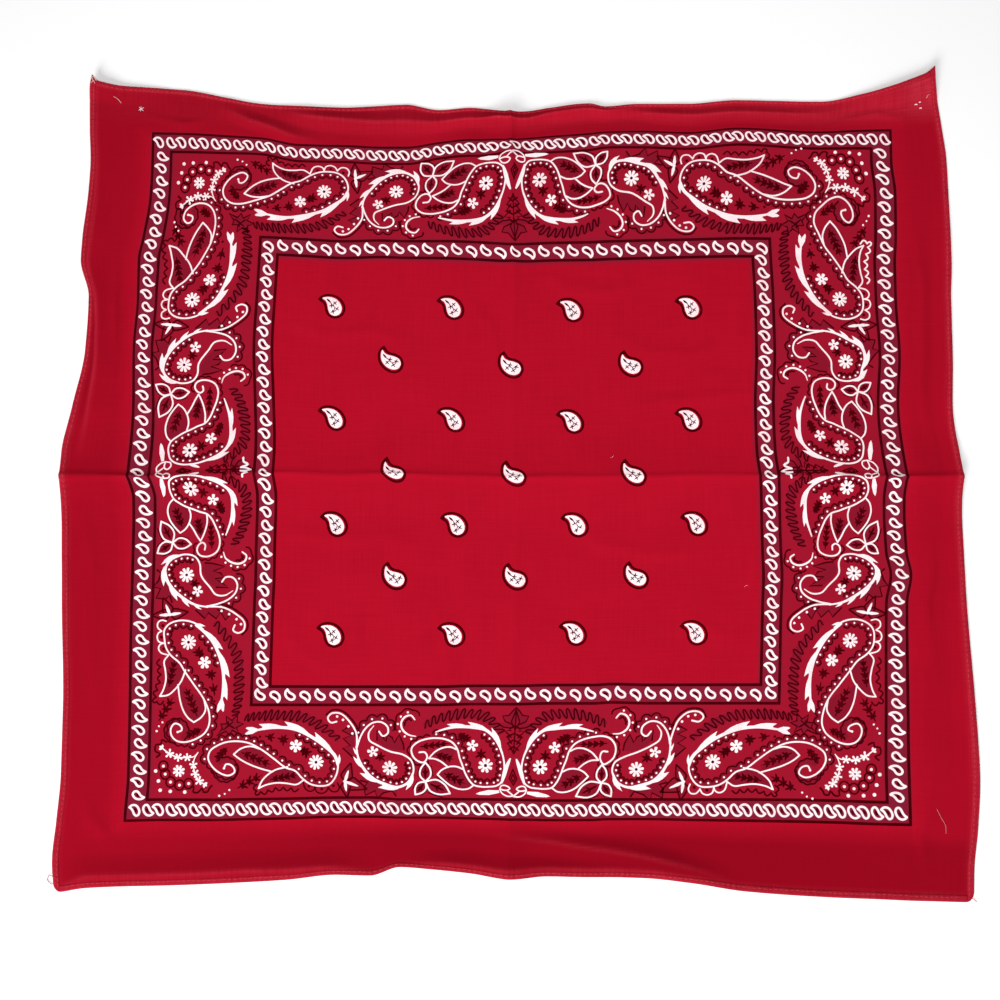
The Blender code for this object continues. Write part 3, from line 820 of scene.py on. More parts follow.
def set_value(piece: Piece, name: str, values: Array) -> None:
    """Give a mesh one number at each vertex, for its finish to read."""
    layer = piece.data.attributes.new(name, "FLOAT", "POINT")
    layer.data.foreach_set("value", np.asarray(values, dtype=np.float32))


def attach(piece: Piece, nodes: Sequence[str] = ()) -> Piece:
    """Tie a piece to the frame.

    Args:
        piece: the finished piece.
        nodes: CAD nodes that it stands for.

    Returns:
        The same piece.
    """
    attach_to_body(piece, "root")
    if nodes:
        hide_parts(*nodes)
    LOG.info("%s: %d triangles", piece.name, sum(len(face.vertices) - 2 for face in piece.data.polygons))
    return piece


@dataclass(frozen=True)
class Ground:
    """How the red of the ground changes over the cut: the print's plum tint, and painted shade over the
    margins.
    """

    rope: float = 0.92
    inner_rope: float = 0.88
    border: float = 0.40
    # Painted shade over the margins: the strength at each side, and rows of places across with strengths along
    # the bottom, the band over the top frame line and the top edge.
    left_shade: float = 0.44
    right_shade: float = 0.27
    side_fade: float = 12.0
    bottom_shade: tuple[tuple[float, ...], tuple[float, ...]] = (
        (-282, -200, -100, 0, 150, 282), (0.50, 0.60, 0.84, 0.94, 0.92, 0.72))
    top_shade: tuple[tuple[float, ...], tuple[float, ...]] = ((-282, -100, -20), (0.50, 0.45, 0))
    top_band_shade: tuple[tuple[float, ...], tuple[float, ...]] = ((-60, -20, 190, 240), (0, 0.58, 0.58, 0.10))
    level_fade: float = 14.0

    def depth(self, u: Array, v: Array) -> Array:
        """How much painted shade darkens the margins' red, most along the bottom.

        Args:
            u: places across the cut.
            v: places up the cut.

        Returns:
            Strength of the painted shade, from 0 to 1.
        """
        below = np.clip((FRAME_BOTTOM - v) / self.level_fade, 0.0, 1.0)
        above = np.clip((v - FRAME_TOP + 8.0) / self.level_fade, 0.0, 1.0)
        beside = np.interp(v - FRAME_TOP, (-4, 2, 12, 20), (0, 1, 1, 0))
        return np.max((
            self.left_shade * np.clip((FRAME_LEFT - u) / self.side_fade, 0.0, 1.0),
            self.right_shade * np.clip((u - FRAME_RIGHT) / self.side_fade, 0.0, 1.0),
            np.interp(u, *self.bottom_shade) * below, np.interp(u, *self.top_band_shade) * beside,
            np.interp(u, *self.top_shade) * above), axis=0)

    def tint(self, u: Array, v: Array) -> Array:
        """How plum the ground is: most inside the two rope bands, a little between them.

        Args:
            u: places across the cut.
            v: places up the cut.

        Returns:
            Tint from 0 to 1.
        """
        outer = np.min((u - FRAME_LEFT, FRAME_RIGHT - u, FRAME_TOP - v, v - FRAME_BOTTOM), axis=0)
        inner = np.min((u - FIELD_LEFT, FIELD_RIGHT - u, FIELD_TOP - v, v - FIELD_BOTTOM), axis=0)
        in_rope = (outer > 0.0) & (outer < OUTER_BAND)
        in_border = (outer > OUTER_BAND) & (inner <= 0.0)
        in_inner_rope = (inner > 0.0) & (inner < INNER_BAND)
        return self.rope * in_rope + self.border * in_border + self.inner_rope * in_inner_rope


GROUND = Ground()


@dataclass
class PanelSheet:
    """The printed panel as one thin closed sheet on the laid grid."""

    cloth: LaidCloth
    finish: CottonFinish = CottonFinish()
    top_share: float = 0.78

    def wear_and_sheen(self, u: Array, v: Array) -> Array:
        """How far the colour is lightened at each point of the cut: worn at the edges and along the fold
        crests, with painted sheen on the crests, over the top margin and at the top right corner.

        Args:
            u: places across the cut.
            v: places up the cut.

        Returns:
            Wear and painted sheen, from 0 to 1.
        """
        edge_u = HALF_WIDTH - np.abs(u)
        edge_v = HALF_HEIGHT - np.abs(v)
        worn_and_sheen = 0.30 * np.clip(1.0 - np.minimum(edge_u, edge_v) / 7.0, 0.0, 1.0)
        # wear with painted sheen along the fold crests
        for fold in FOLDS[2:]:
            slim = Fold(fold.line, tuple(0.09 * height for height in fold.heights), 3.5, 3.5, 0.4)
            worn_and_sheen = worn_and_sheen + fold_height(slim, u, v)
        # painted highlight with wear on the lifted top right corner
        corner = np.clip(1.0 - np.hypot(u - 272.0, v - 250.0) / 26.0, 0.0, 1.0)
        # painted sheen over the top margin, stronger to the right
        top = np.interp(u, (-282.0, -150.0, 0.0, 150.0, 282.0), (0.06, 0.08, 0.12, 0.18, 0.34))
        top = top * np.clip((v - 224.0) / 12.0, 0.0, 1.0)
        return np.clip(worn_and_sheen + top + 0.45 * corner, 0.0, 1.0)

    def build(self) -> Piece:
        """Build the sheet: its top, its underside and the rim between them."""
        rows, columns, _ = self.cloth.grid.shape
        under = self.cloth.grid.reshape(-1, 3) * METRES
        top = under + np.array((0.0, 0.0, self.cloth.thickness * METRES))
        count = rows * columns
        faces = []
        for row in range(rows - 1):
            for column in range(columns - 1):
                low = row * columns + column
                right, top_left, far = low + 1, low + columns, low + columns + 1
                faces.append((low, right, far))
                faces.append((low, far, top_left))
        upper = np.array(faces)
        lower = upper[:, ::-1] + count
        rim = list(range(columns))
        rim += [row * columns + columns - 1 for row in range(1, rows)]
        rim += [(rows - 1) * columns + column for column in range(columns - 2, -1, -1)]
        rim += [row * columns for row in range(rows - 2, 0, -1)]
        sides = [(here + count, there + count, there, here) for here, there in zip(rim, rim[1:] + rim[:1])]
        piece = new_piece("cloth", np.vstack((top, under)), [*upper, *lower, *sides], self.finish.build())
        grid_u, grid_v = np.meshgrid(self.cloth.u_lines, self.cloth.v_lines)
        flat_u = np.tile(grid_u.ravel(), 2)
        flat_v = np.tile(grid_v.ravel(), 2)
        set_uv(piece, "Cut", np.stack((flat_u, flat_v), axis=1) * METRES)
        across = (flat_u + HALF_WIDTH) / (2.0 * HALF_WIDTH)
        up = (flat_v + HALF_HEIGHT) / (2.0 * HALF_HEIGHT)
        on_top = np.arange(2 * count) < count
        baked_u = np.where(on_top, across * self.top_share, 0.80 + 0.19 * across)
        set_uv(piece, "OFBake", np.stack((baked_u, up * 0.995), axis=1))
        set_value(piece, "wear_and_sheen", self.wear_and_sheen(flat_u, flat_v))
        set_value(piece, "tint", GROUND.tint(flat_u, flat_v) * on_top)
        # painted shade over the margins
        set_value(piece, "shaded", GROUND.depth(flat_u, flat_v))
        return attach(piece, ["panel"])


@dataclass
class RolledHem:
    """One edge turned twice and stitched: a soft roll with a dimple at each stitch."""

    cloth: LaidCloth
    edge: Edge
    material: bpy.types.Material | None
    thickness: float = 1.05
    station_step: float = 1.1
    stitch_pitch: float = 3.2
    stitch_inset: float = 3.0

    def section(self) -> tuple[tuple[float, float], ...]:
        """Cross-section of the roll: distance in from the edge, and height over the underside."""
        high = self.thickness
        return (
            (HEM_WIDTH + 0.3, 0.02), (0.7, 0.0), (0.18, 0.20), (0.0, 0.48), (0.14, 0.80), (0.6, high),
            (1.6, high + 0.05), (self.stitch_inset, high - 0.12), (3.7, high - 0.05), (HEM_WIDTH + 0.3, 0.42))

    def cut_place(self, station: float, inward: float) -> tuple[float, float]:
        """Place on the cut of a station along this edge and a distance in from it."""
        if self.edge is Edge.LEFT:
            return -HALF_WIDTH + inward, station
        if self.edge is Edge.RIGHT:
            return HALF_WIDTH - inward, station
        if self.edge is Edge.TOP:
            return station, HALF_HEIGHT - inward
        return station, -HALF_HEIGHT + inward

    def half_length(self) -> float:
        """Half the length of this hem: the side hems run the whole height."""
        if self.edge in (Edge.LEFT, Edge.RIGHT):
            return HALF_HEIGHT
        return HALF_WIDTH - HEM_WIDTH

    def build(self) -> Piece:
        """Build the hem as a closed strip."""
        half = self.half_length()
        count = int(round(2.0 * half / self.station_step))
        stations = np.linspace(-half, half, count + 1)
        section = self.section()
        sides = len(section)
        rings = []
        for inward, height in section:
            flat = [self.cut_place(station, inward) for station in stations]
            u = np.array([place[0] for place in flat])
            v = np.array([place[1] for place in flat])
            x, y, lift = self.cloth.lay(u, v)
            rise = np.full(len(stations), height)
            if height > 0.6:
                beat = np.cos(2.0 * math.pi * stations / self.stitch_pitch)
                pull = math.exp(-((inward - self.stitch_inset) / 1.1) ** 2)
                rise = rise - 0.13 * pull * (0.5 + 0.5 * beat)
                rise = rise + 0.05 * np.sin(stations / 2.7 + 0.9 * np.sin(stations / 11.0))
            rings.append(np.stack((x, y, lift + rise), axis=1))
        points = np.stack(rings, axis=1).reshape(-1, 3) * METRES
        faces = []
        for station in range(count):
            for side in range(sides):
                other = (side + 1) % sides
                here = station * sides
                faces.append((here + side, here + other, here + sides + other, here + sides + side))
        faces.append(tuple(range(sides))[::-1])
        faces.append(tuple(count * sides + side for side in range(sides)))
        if self.edge in (Edge.LEFT, Edge.BOTTOM):
            faces = [face[::-1] for face in faces]
        piece = new_piece(f"hem_{self.edge.value}", points, faces, self.material)
        place = np.array([self.cut_place(station, inward) for station in stations for inward, _ in section])
        set_uv(piece, "Cut", place * METRES)
        along = np.repeat((stations + half) / (2.0 * half), sides)
        around = np.tile(np.linspace(0.0, 1.0, sides), len(stations))
        rows = 12.0
        row = np.minimum(np.floor(along * rows), rows - 1.0)
        set_uv(piece, "OFBake", self.folded_uv(piece, along, around, row, rows, sides))
        # wear with painted sheen on the hem's rolled outer edge
        worn_and_sheen = [1.0 if 0.1 < inward < 1.4 else 0.2 for inward, _ in section]
        set_value(piece, "wear_and_sheen", 0.34 + 0.30 * np.tile(worn_and_sheen, len(stations)))
        set_value(piece, "tint", np.zeros(len(points)))
        # painted shade over the margins, as on the panel
        set_value(piece, "shaded", GROUND.depth(place[:, 0], place[:, 1]))
        return attach(piece, [f"hem_{self.edge.value}"])

    def folded_uv(self, piece: Piece, along: Array, around: Array, row: Array,
                  rows: float, sides: int) -> Array:
        """Lay the long strip in the UV square as rows, one above the other.

        Args:
            piece: the hem.
            along: place of each vertex along the hem, 0 to 1.
            around: place of each vertex round its section, 0 to 1.
            row: the row each vertex's station starts in.
            rows: number of rows.
            sides: vertices in a section.

        Returns:
            One UV for each face corner.
        """
        corners = []
        for face in piece.data.polygons:
            picked = list(face.vertices)
            first = min(row[index] for index in picked)
            wraps = max(around[index] for index in picked) - min(around[index] for index in picked) > 0.5
            for index in picked:
                turn = around[index] * (sides - 1.0) / sides
                if wraps and around[index] == 0.0 and len(picked) == 4:
                    turn = 1.0
                level = min(0.005 + 0.98 * (along[index] * rows - first), 0.999)
                corners.append((level, (first + 0.04 + 0.9 * turn) / rows))
        return np.array(corners)


@dataclass
class Tubes:
    """Thin round tubes gathered into one mesh, each a run of rings with a cap at both ends."""

    points: list[Array] = field(default_factory=list)
    faces: list[tuple[int, ...]] = field(default_factory=list)

    def add(self, rings: Sequence[tuple[Array, float, Array, Array]], sides: int) -> None:
        """Add one tube.

        Args:
            rings: each ring's centre, its radius, and its sideways and upward directions.
            sides: corners of a ring.
        """
        start = len(self.points)
        last = start + (len(rings) - 1) * sides
        for centre, radius, sideways, upward in rings:
            for corner in range(sides):
                turn = 2.0 * math.pi * corner / sides
                self.points.append(centre + radius * (math.cos(turn) * sideways + math.sin(turn) * upward))
        for low in range(start, last, sides):
            for corner in range(sides):
                other = (corner + 1) % sides
                self.faces.append((low + corner, low + sides + corner, low + sides + other, low + other))
        self.faces.append(tuple(range(start, start + sides)))
        self.faces.append(tuple(range(last, last + sides))[::-1])

    def build(self, name: str, finish: ThreadFinish) -> Piece:
        """Build the tubes as a piece."""
        return attach(new_piece(name, np.array(self.points) * METRES, self.faces, finish.build()))


@dataclass
class HemStitches:
    """The rows of machine stitches that hold the hems down."""

    cloth: LaidCloth
    finish: ThreadFinish
    pitch: float = 3.2
    length: float = 2.1
    radius: float = 0.17
    inset: float = 3.0
    height: float = 0.98
    corner_gap: float = 3.5

    def build(self) -> Piece:
        """Build every stitch as a short spindle, in one piece."""
        tubes = Tubes()
        for edge in Edge:
            hem = RolledHem(self.cloth, edge, None)
            half = hem.half_length() - self.corner_gap
            count = int(2.0 * half / self.pitch)
            for index in range(count):
                middle = -half + (index + 0.5) * self.pitch
                sway = 0.22 * math.sin(index * 0.37) + 0.14 * math.sin(index * 1.9)
                long = self.length * (1.0 + 0.16 * math.sin(index * 2.3 + 0.4))
                rings = []
                for step, swell in ((-0.5, 0.35), (-0.3, 0.95), (0.0, 1.0), (0.3, 0.95), (0.5, 0.35)):
                    u, v = hem.cut_place(middle + step * long, self.inset + sway * (1.0 + step))
                    x, y, lift = self.cloth.lay(np.array([u]), np.array([v]))
                    centre = np.array((x[0], y[0], lift[0] + self.height - 0.10 * abs(step) * 2.0))
                    rings.append((centre, swell * self.radius))
                direction = rings[-1][0] - rings[0][0]
                direction = direction / np.linalg.norm(direction)
                sideways = np.cross(direction, (0.0, 0.0, 1.0))
                upward = np.cross(sideways, direction)
                tubes.add([(centre, radius, sideways, upward) for centre, radius in rings], 5)
        return tubes.build("hem_stitches", self.finish)


# ---------------------------------------------------------------- drawing the print
def spline(points: Points, step: float, closed: bool = False) -> Array:
    """A smooth curve through points.

    Args:
        points: the points it passes through.
        step: about how far apart its samples are.
        closed: whether it comes back to its first point.

    Returns:
        Samples along the curve; the last one repeats the first if it is closed.
    """
    knots = np.asarray(points, dtype=float)
    if closed:
        knots = np.vstack((knots[-1:], knots, knots[:2]))
    else:
        knots = np.vstack((2.0 * knots[0] - knots[1], knots, 2.0 * knots[-1] - knots[-2]))
    samples = []
    for before, start, end, after in zip(knots[:-3], knots[1:-2], knots[2:-1], knots[3:]):
        length = float(np.hypot(*(end - start)))
        reach_in = max(float(np.hypot(*(start - before))), 1e-6)
        reach_out = max(float(np.hypot(*(after - end))), 1e-6)
        lean_in = (end - start) / max(length, 1e-6) + (start - before) / reach_in
        lean_out = (after - end) / reach_out + (end - start) / max(length, 1e-6)
        cells = max(2, int(math.ceil(length / step)))
        for cell in range(cells):
            part = cell / cells
            square = part * part
            cube = square * part
            samples.append(
                (2 * cube - 3 * square + 1) * start + (cube - 2 * square + part) * lean_in * length * 0.5
                + (3 * square - 2 * cube) * end + (cube - square) * lean_out * length * 0.5)
    samples.append(knots[-2])
    return np.array(samples)


def normals_of(path: Array, closed: bool = False) -> Array:
    """Unit normals to the left of a path, at each of its points."""
    ahead = np.roll(path, -1, axis=0)
    behind = np.roll(path, 1, axis=0)
    if closed:
        ahead[-1] = path[1]
        behind[0] = path[-2]
    else:
        ahead[-1] = path[-1]
        behind[0] = path[0]
    run = ahead - behind
    run = run / np.maximum(np.hypot(run[:, 0], run[:, 1])[:, None], 1e-9)
    return np.stack((-run[:, 1], run[:, 0]), axis=1)


def arc_places(path: Array) -> Array:
    """Distance along a path to each of its points."""
    return np.concatenate(([0.0], np.cumsum(np.hypot(*np.diff(path, axis=0).T))))


def along_path(path: Array, places: Array, offset: Array | float) -> Array:
    """Points beside a path.

    Args:
        path: the path's points.
        places: distances along it.
        offset: how far to its left each point is.

    Returns:
        The points.
    """
    arcs = arc_places(path)
    sides = normals_of(path)
    point = np.stack([np.interp(places, arcs, path[:, axis]) for axis in (0, 1)], axis=1)
    side = np.stack([np.interp(places, arcs, sides[:, axis]) for axis in (0, 1)], axis=1)
    return point + side * np.broadcast_to(offset, (len(places),))[:, None]


def holds(outline: Array, point: Vector) -> bool:
    """Whether a closed outline goes round a point."""
    inside = False
    before_x, before_y = outline[-1]
    for x, y in outline:
        if (y > point[1]) != (before_y > point[1]):
            if point[0] < x + (point[1] - y) * (before_x - x) / (before_y - y):
                inside = not inside
        before_x, before_y = x, y
    return inside


@dataclass(frozen=True)
class Placement:
    """Where a motif's own axes lie on the cut: s along a side from the frame's corner, t in from its line."""

    corner: tuple[float, float]
    along: tuple[float, float]
    inward: tuple[float, float]
    s_scale: float = 1.0
    t_scale: float = 1.0
    ease: tuple[tuple[float, float, float], ...] = ()
    upright: bool = False
    nudges: tuple[tuple[float, ...], ...] = ()

    def sized(self, points: Points) -> Array:
        """The motif's points at this side's proportions, shifted as the cloth lies."""
        places = np.array(points, dtype=float).reshape(-1, 2)
        s, t = places[:, 0].copy(), places[:, 1].copy()
        if self.ease:
            stations, along, inward = np.array(self.ease, dtype=float).T
            places[:, 0] += np.interp(s, stations, along)
            places[:, 1] += np.interp(s, stations, inward) * np.interp(t, EASE_DEPTHS, EASE_SHARES)
        if self.upright:
            stations = np.array([row[0] for row in UPRIGHT_SHIFTS], dtype=float)
            levels = np.array([np.interp(t, UPRIGHT_DEPTHS, row[1:]) for row in UPRIGHT_SHIFTS])
            places[:, 1] += [np.interp(place, stations, column) for place, column in zip(s, levels.T)]
        for near_s, near_t, reach_s, reach_t, shift_s, shift_t in self.nudges:
            share = np.exp(-((s - near_s) / reach_s) ** 2 - ((t - near_t) / reach_t) ** 2)
            places[:, 0] += shift_s * share
            places[:, 1] += shift_t * share
        return places * (self.s_scale, self.t_scale)

    def on_cut(self, points: Array) -> Array:
        """Sized points on the cut."""
        across = points[:, :1] * np.array(self.along)
        return np.array(self.corner) + across + points[:, 1:] * np.array(self.inward)


@dataclass
class Motif:
    """The shapes of one motif, gathered ink by ink before they are joined and laid."""

    placement: Placement
    shapes: dict[Ink, list[Array]] = field(default_factory=lambda: {ink: [] for ink in Ink})
    sample: float = 1.15
    dot_radius: float = 0.64
    dot_offset: float = 2.35
    dark_line: float = 0.98
    comb_line: float = 0.96
    jagged_line: float = 1.05

    def at(self, place: Sequence[float]) -> Array:
        """A point of the motif at this side's proportions."""
        return self.placement.sized([place])[0]

    def add(self, ink: Ink, outline: Array) -> None:
        """Add one filled outline, turned anticlockwise."""
        points = self.placement.on_cut(np.asarray(outline, dtype=float))
        ahead = np.roll(points, -1, axis=0)
        area = float(np.sum(points[:, 0] * ahead[:, 1] - ahead[:, 0] * points[:, 1])) / 2.0
        if abs(area) > 1e-4:
            self.shapes[ink].append(points if area > 0.0 else points[::-1])

    def ribbon(self, ink: Ink, path: Array, width: float | Array, closed: bool = False) -> None:
        """Add a band of the given width along a sized path, cell by cell."""
        half = np.broadcast_to(np.asarray(width, dtype=float) / 2.0, (len(path),))[:, None]
        side = normals_of(path, closed)
        left = path + side * half
        right = path - side * half
        for index in range(len(path) - 1):
            quad = np.array((right[index], right[index + 1], left[index + 1], left[index]))
            self.add(ink, quad[[0, 1, 2]])
            self.add(ink, quad[[0, 2, 3]])

    def line(self, ink: Ink, points: Points, width: float, closed: bool = False,
             ends: tuple[float, float] = (1.0, 1.0)) -> Array:
        """Draw a smooth line.

        Args:
            ink: its ink.
            points: points that it passes through.
            width: its width.
            closed: whether it closes on itself.
            ends: width at its two ends, as a share of the whole.

        Returns:
            The line's path, for other shapes to follow.
        """
        path = spline(self.placement.sized(points), self.sample, closed)
        arcs = arc_places(path)
        total = arcs[-1]
        taper = min(7.0, total * 0.4)
        start = np.clip(arcs / taper, 0.0, 1.0) * (1.0 - ends[0]) + ends[0]
        end = np.clip((total - arcs) / taper, 0.0, 1.0) * (1.0 - ends[1]) + ends[1]
        self.ribbon(ink, path, width * start * end, closed)
        if not closed:
            for tip, share in ((path[0], ends[0]), (path[-1], ends[1])):
                if share > 0.6:
                    self.disc(ink, tip, width * share / 2.0, 8)
        return path

    def fill(self, ink: Ink, points: Points) -> None:
        """Fill a smooth closed outline."""
        path = spline(self.placement.sized(points), self.sample, True)
        self.add(ink, path[:-1])

    def disc(self, ink: Ink, centre: Array, radius: float, sides: int = 10) -> None:
        """Fill a round dot at a sized point."""
        turns = 2.0 * math.pi * (np.arange(sides) + 0.5) / sides
        self.add(ink, np.asarray(centre) + radius * np.stack((np.cos(turns), np.sin(turns)), axis=1))

    def dot(self, ink: Ink, centre: Sequence[float], radius: float) -> None:
        """Fill a round dot at a point of the motif."""
        self.disc(ink, self.at(centre), radius)

    def flower(self, centre: Sequence[float], radius: float, petals: int, turn: float, heart: float,
               slim: float = 0.36) -> None:
        """Draw a white flower with a small dark heart.

        Args:
            centre: its middle.
            radius: to the petals' tips.
            petals: how many.
            turn: angle of the first petal.
            heart: radius of the dark heart.
            slim: how wide a petal is beside its pitch.
        """
        middle = self.at(centre)
        self.disc(Ink.WHITE, middle, radius * min(0.40, 1.15 * slim), 16)
        for petal in range(petals):
            angle = turn + 2.0 * math.pi * petal / petals
            ahead = np.array((math.cos(angle), math.sin(angle)))
            side = np.array((-ahead[1], ahead[0])) * radius * slim * 9.0 / (petals + 1.0)
            reach = radius * (1.0 + 0.05 * math.sin(3.1 * petal + turn))
            outline = [
                middle + ahead * radius * 0.22 - side * 0.30, middle + ahead * reach * 0.70 - side * 0.56,
                middle + ahead * reach * 0.93 - side * 0.50, middle + ahead * reach,
                middle + ahead * reach * 0.93 + side * 0.50, middle + ahead * reach * 0.70 + side * 0.56,
                middle + ahead * radius * 0.22 + side * 0.30]
            self.add(Ink.WHITE, np.array(outline))
        if heart > 0.0:
            self.disc(Ink.MARKS, middle, heart, 12)

    def sprig(self, root: Sequence[float], tip: Sequence[float], pairs: int, reach: float) -> None:
        """Draw a small dark fern: a stem with pairs of pointed leaves.

        Args:
            root: where the stem starts.
            tip: where it ends.
            pairs: pairs of leaves.
            reach: length of the longest leaves.
        """
        start, end = self.placement.sized([root, tip])
        run = end - start
        length = float(np.hypot(*run))
        ahead = run / length
        side = np.array((-ahead[1], ahead[0]))
        self.blade(Ink.DARK, start, end + ahead * 0.8, 1.35)
        for pair in range(pairs):
            part = (pair + 0.5) / pairs
            swell = reach * (0.72 + 0.38 * math.sin(math.pi * (0.15 + 0.8 * part)))
            foot = start + run * (0.06 + 0.82 * part)
            for hand in (-1.0, 1.0):
                for lean, share in ((0.85, 1.0), (-0.25, 0.70)):
                    leaf = foot + (side * hand + ahead * lean) * swell * share
                    self.blade(Ink.DARK, foot, leaf, 1.45)

    def burst(self, ink: Ink, centre: Sequence[float], radius: float, points: int, turn: float) -> None:
        """Draw a small star of pointed strokes."""
        middle = self.at(centre)
        self.disc(ink, middle, radius * 0.30, 8)
        for point in range(points):
            angle = turn + 2.0 * math.pi * point / points
            reach = radius * (1.0 + 0.16 * math.sin(2.7 * point))
            tip = middle + reach * np.array((math.cos(angle), math.sin(angle)))
            self.blade(ink, middle, tip, radius * 0.42)

    def blade(self, ink: Ink, foot: Array, tip: Array, width: float) -> None:
        """Fill a pointed leaf between two sized points."""
        run = np.asarray(tip, dtype=float) - foot
        length = max(float(np.hypot(*run)), 1e-6)
        side = np.array((-run[1], run[0])) / length * width / 2.0
        self.add(ink, np.array((
            foot - side * 0.5, foot + run * 0.45 - side, foot + run * 0.85 - side * 0.55, tip,
            foot + run * 0.85 + side * 0.55, foot + run * 0.45 + side, foot + side * 0.5)))

    def scallops(self, path: Array, side: float, start: float, end: float, pitch: float = 4.6,
                 dots: bool = True, near: float = 3.0, bulge: float = 2.2) -> None:
        """Follow a line with a row of white dots and a dark scalloped line round them.

        Args:
            path: the line followed.
            side: 1 to keep to its left, -1 to keep to its right.
            start: where the row starts, as a share of the line.
            end: where it ends.
            pitch: distance between dots.
            dots: whether the white dots are drawn.
            near: how far off the cusps of the scallops are.
            bulge: how much farther off their backs are.
        """
        total = arc_places(path)[-1]
        run = total * (end - start)
        count = max(1, int(round(run / pitch)))
        step = run / count
        first = total * start
        if dots:
            places = first + step * (np.arange(count) + 0.5)
            for centre in along_path(path, places, side * self.dot_offset):
                self.disc(Ink.WHITE, centre, self.dot_radius, 8)
            reach = near + bulge
            band = first + step * np.linspace(0.0, count, count * 3 + 1)
            self.ribbon(Ink.SHADE, along_path(path, band, side * (reach / 2.0 + 0.2)), reach - 0.5)
        places = first + step * np.linspace(0.0, count, count * 6 + 1)
        wave = np.abs(np.sin(math.pi * (places - first) / step))
        self.ribbon(Ink.DARK, along_path(path, places, side * (near + bulge * wave)), self.dark_line)

    def comb(self, points: Points, teeth: int, depth: float, lean: float,
             first: float = 1.0) -> None:
        """Draw a dark comb band: one line looping to and fro across a curve.

        Args:
            points: points that the curve passes through.
            teeth: how many loops.
            depth: how deep they are.
            lean: how far their tips lean along the curve.
            first: pitch of the first loops, beside the average one.
        """
        path = spline(self.placement.sized(points), 2.0)
        total = arc_places(path)[-1]
        turns = np.linspace(0.0, teeth, teeth * 10 + 1)
        swing = 0.5 - 0.5 * np.cos(2.0 * math.pi * turns)
        rise = np.sign(swing - 0.5) * np.abs(2.0 * swing - 1.0) ** 0.6 * 0.5
        part = turns / teeth
        taper = np.clip(0.58 + 1.7 * np.minimum(part, 1.0 - part), 0.0, 1.0)
        depths = depth * (0.90 + 0.10 * np.sin(turns * 1.7)) * taper
        evenly = total * (first * part + (1.0 - first) * part ** 2)
        places = np.clip(evenly + lean * rise, 0.0, total)
        self.ribbon(Ink.SHADE, along_path(path, evenly[::5], 0.0), 0.88 * depths[::5])
        self.ribbon(Ink.DARK, along_path(path, places, rise * depths), self.comb_line)

    def feather(self, points: Points, width: float, barbs: Points, side: float) -> Array:
        """Draw a white feather: a line that swells, with barbs on one side.

        Args:
            points: points that its spine passes through.
            width: its greatest width.
            barbs: place along the spine, length along it and reach off it of each barb.
            side: 1 if the barbs are on the spine's left, -1 if on its right.

        Returns:
            The spine's path, for other shapes to follow.
        """
        path = spline(self.placement.sized(points), self.sample)
        arcs = arc_places(path)
        total = arcs[-1]
        swell = 0.34 + 0.66 * np.sin(np.pi * np.clip(arcs / total, 0.0, 1.0)) ** 0.8
        self.ribbon(Ink.WHITE, path, width * swell)
        for place, length, reach in barbs:
            root = place * total
            low = along_path(path, np.clip(np.linspace(root, root + length, 7), 0.0, total), 0.0)
            back = along_path(
                path, np.clip(root + length * np.array((1.0, 0.80, 0.58, 0.36, 0.14)), 0.0, total),
                side * reach * np.array((0.06, 0.36, 0.66, 0.84, 0.94)))
            tip = along_path(path, np.array([root - 1.5, root + 0.6]), side * reach * np.array((1.05, 0.42)))
            self.add(Ink.WHITE, np.vstack((low, back, tip)))
        return path

    def leaf(self, first: Points, second: Points, width: float) -> None:
        """Draw a leaf as two white lines with a shaded inside.

        Args:
            first: points of one edge.
            second: points of the other edge, from the same tip.
            width: width of the lines.
        """
        one = self.line(Ink.WHITE, first, width)
        other = self.line(Ink.WHITE, second, width)
        self.add(Ink.SHADE, np.vstack((one, other[:0:-1])))

    def jagged(self, points: Points, close: Points = ()) -> None:
        """Draw a dark jagged line, shaded as far as the points that close it."""
        self.ribbon(Ink.DARK, self.placement.sized(points), self.jagged_line)
        self.add(Ink.SHADE, self.placement.sized([*points, *close]))


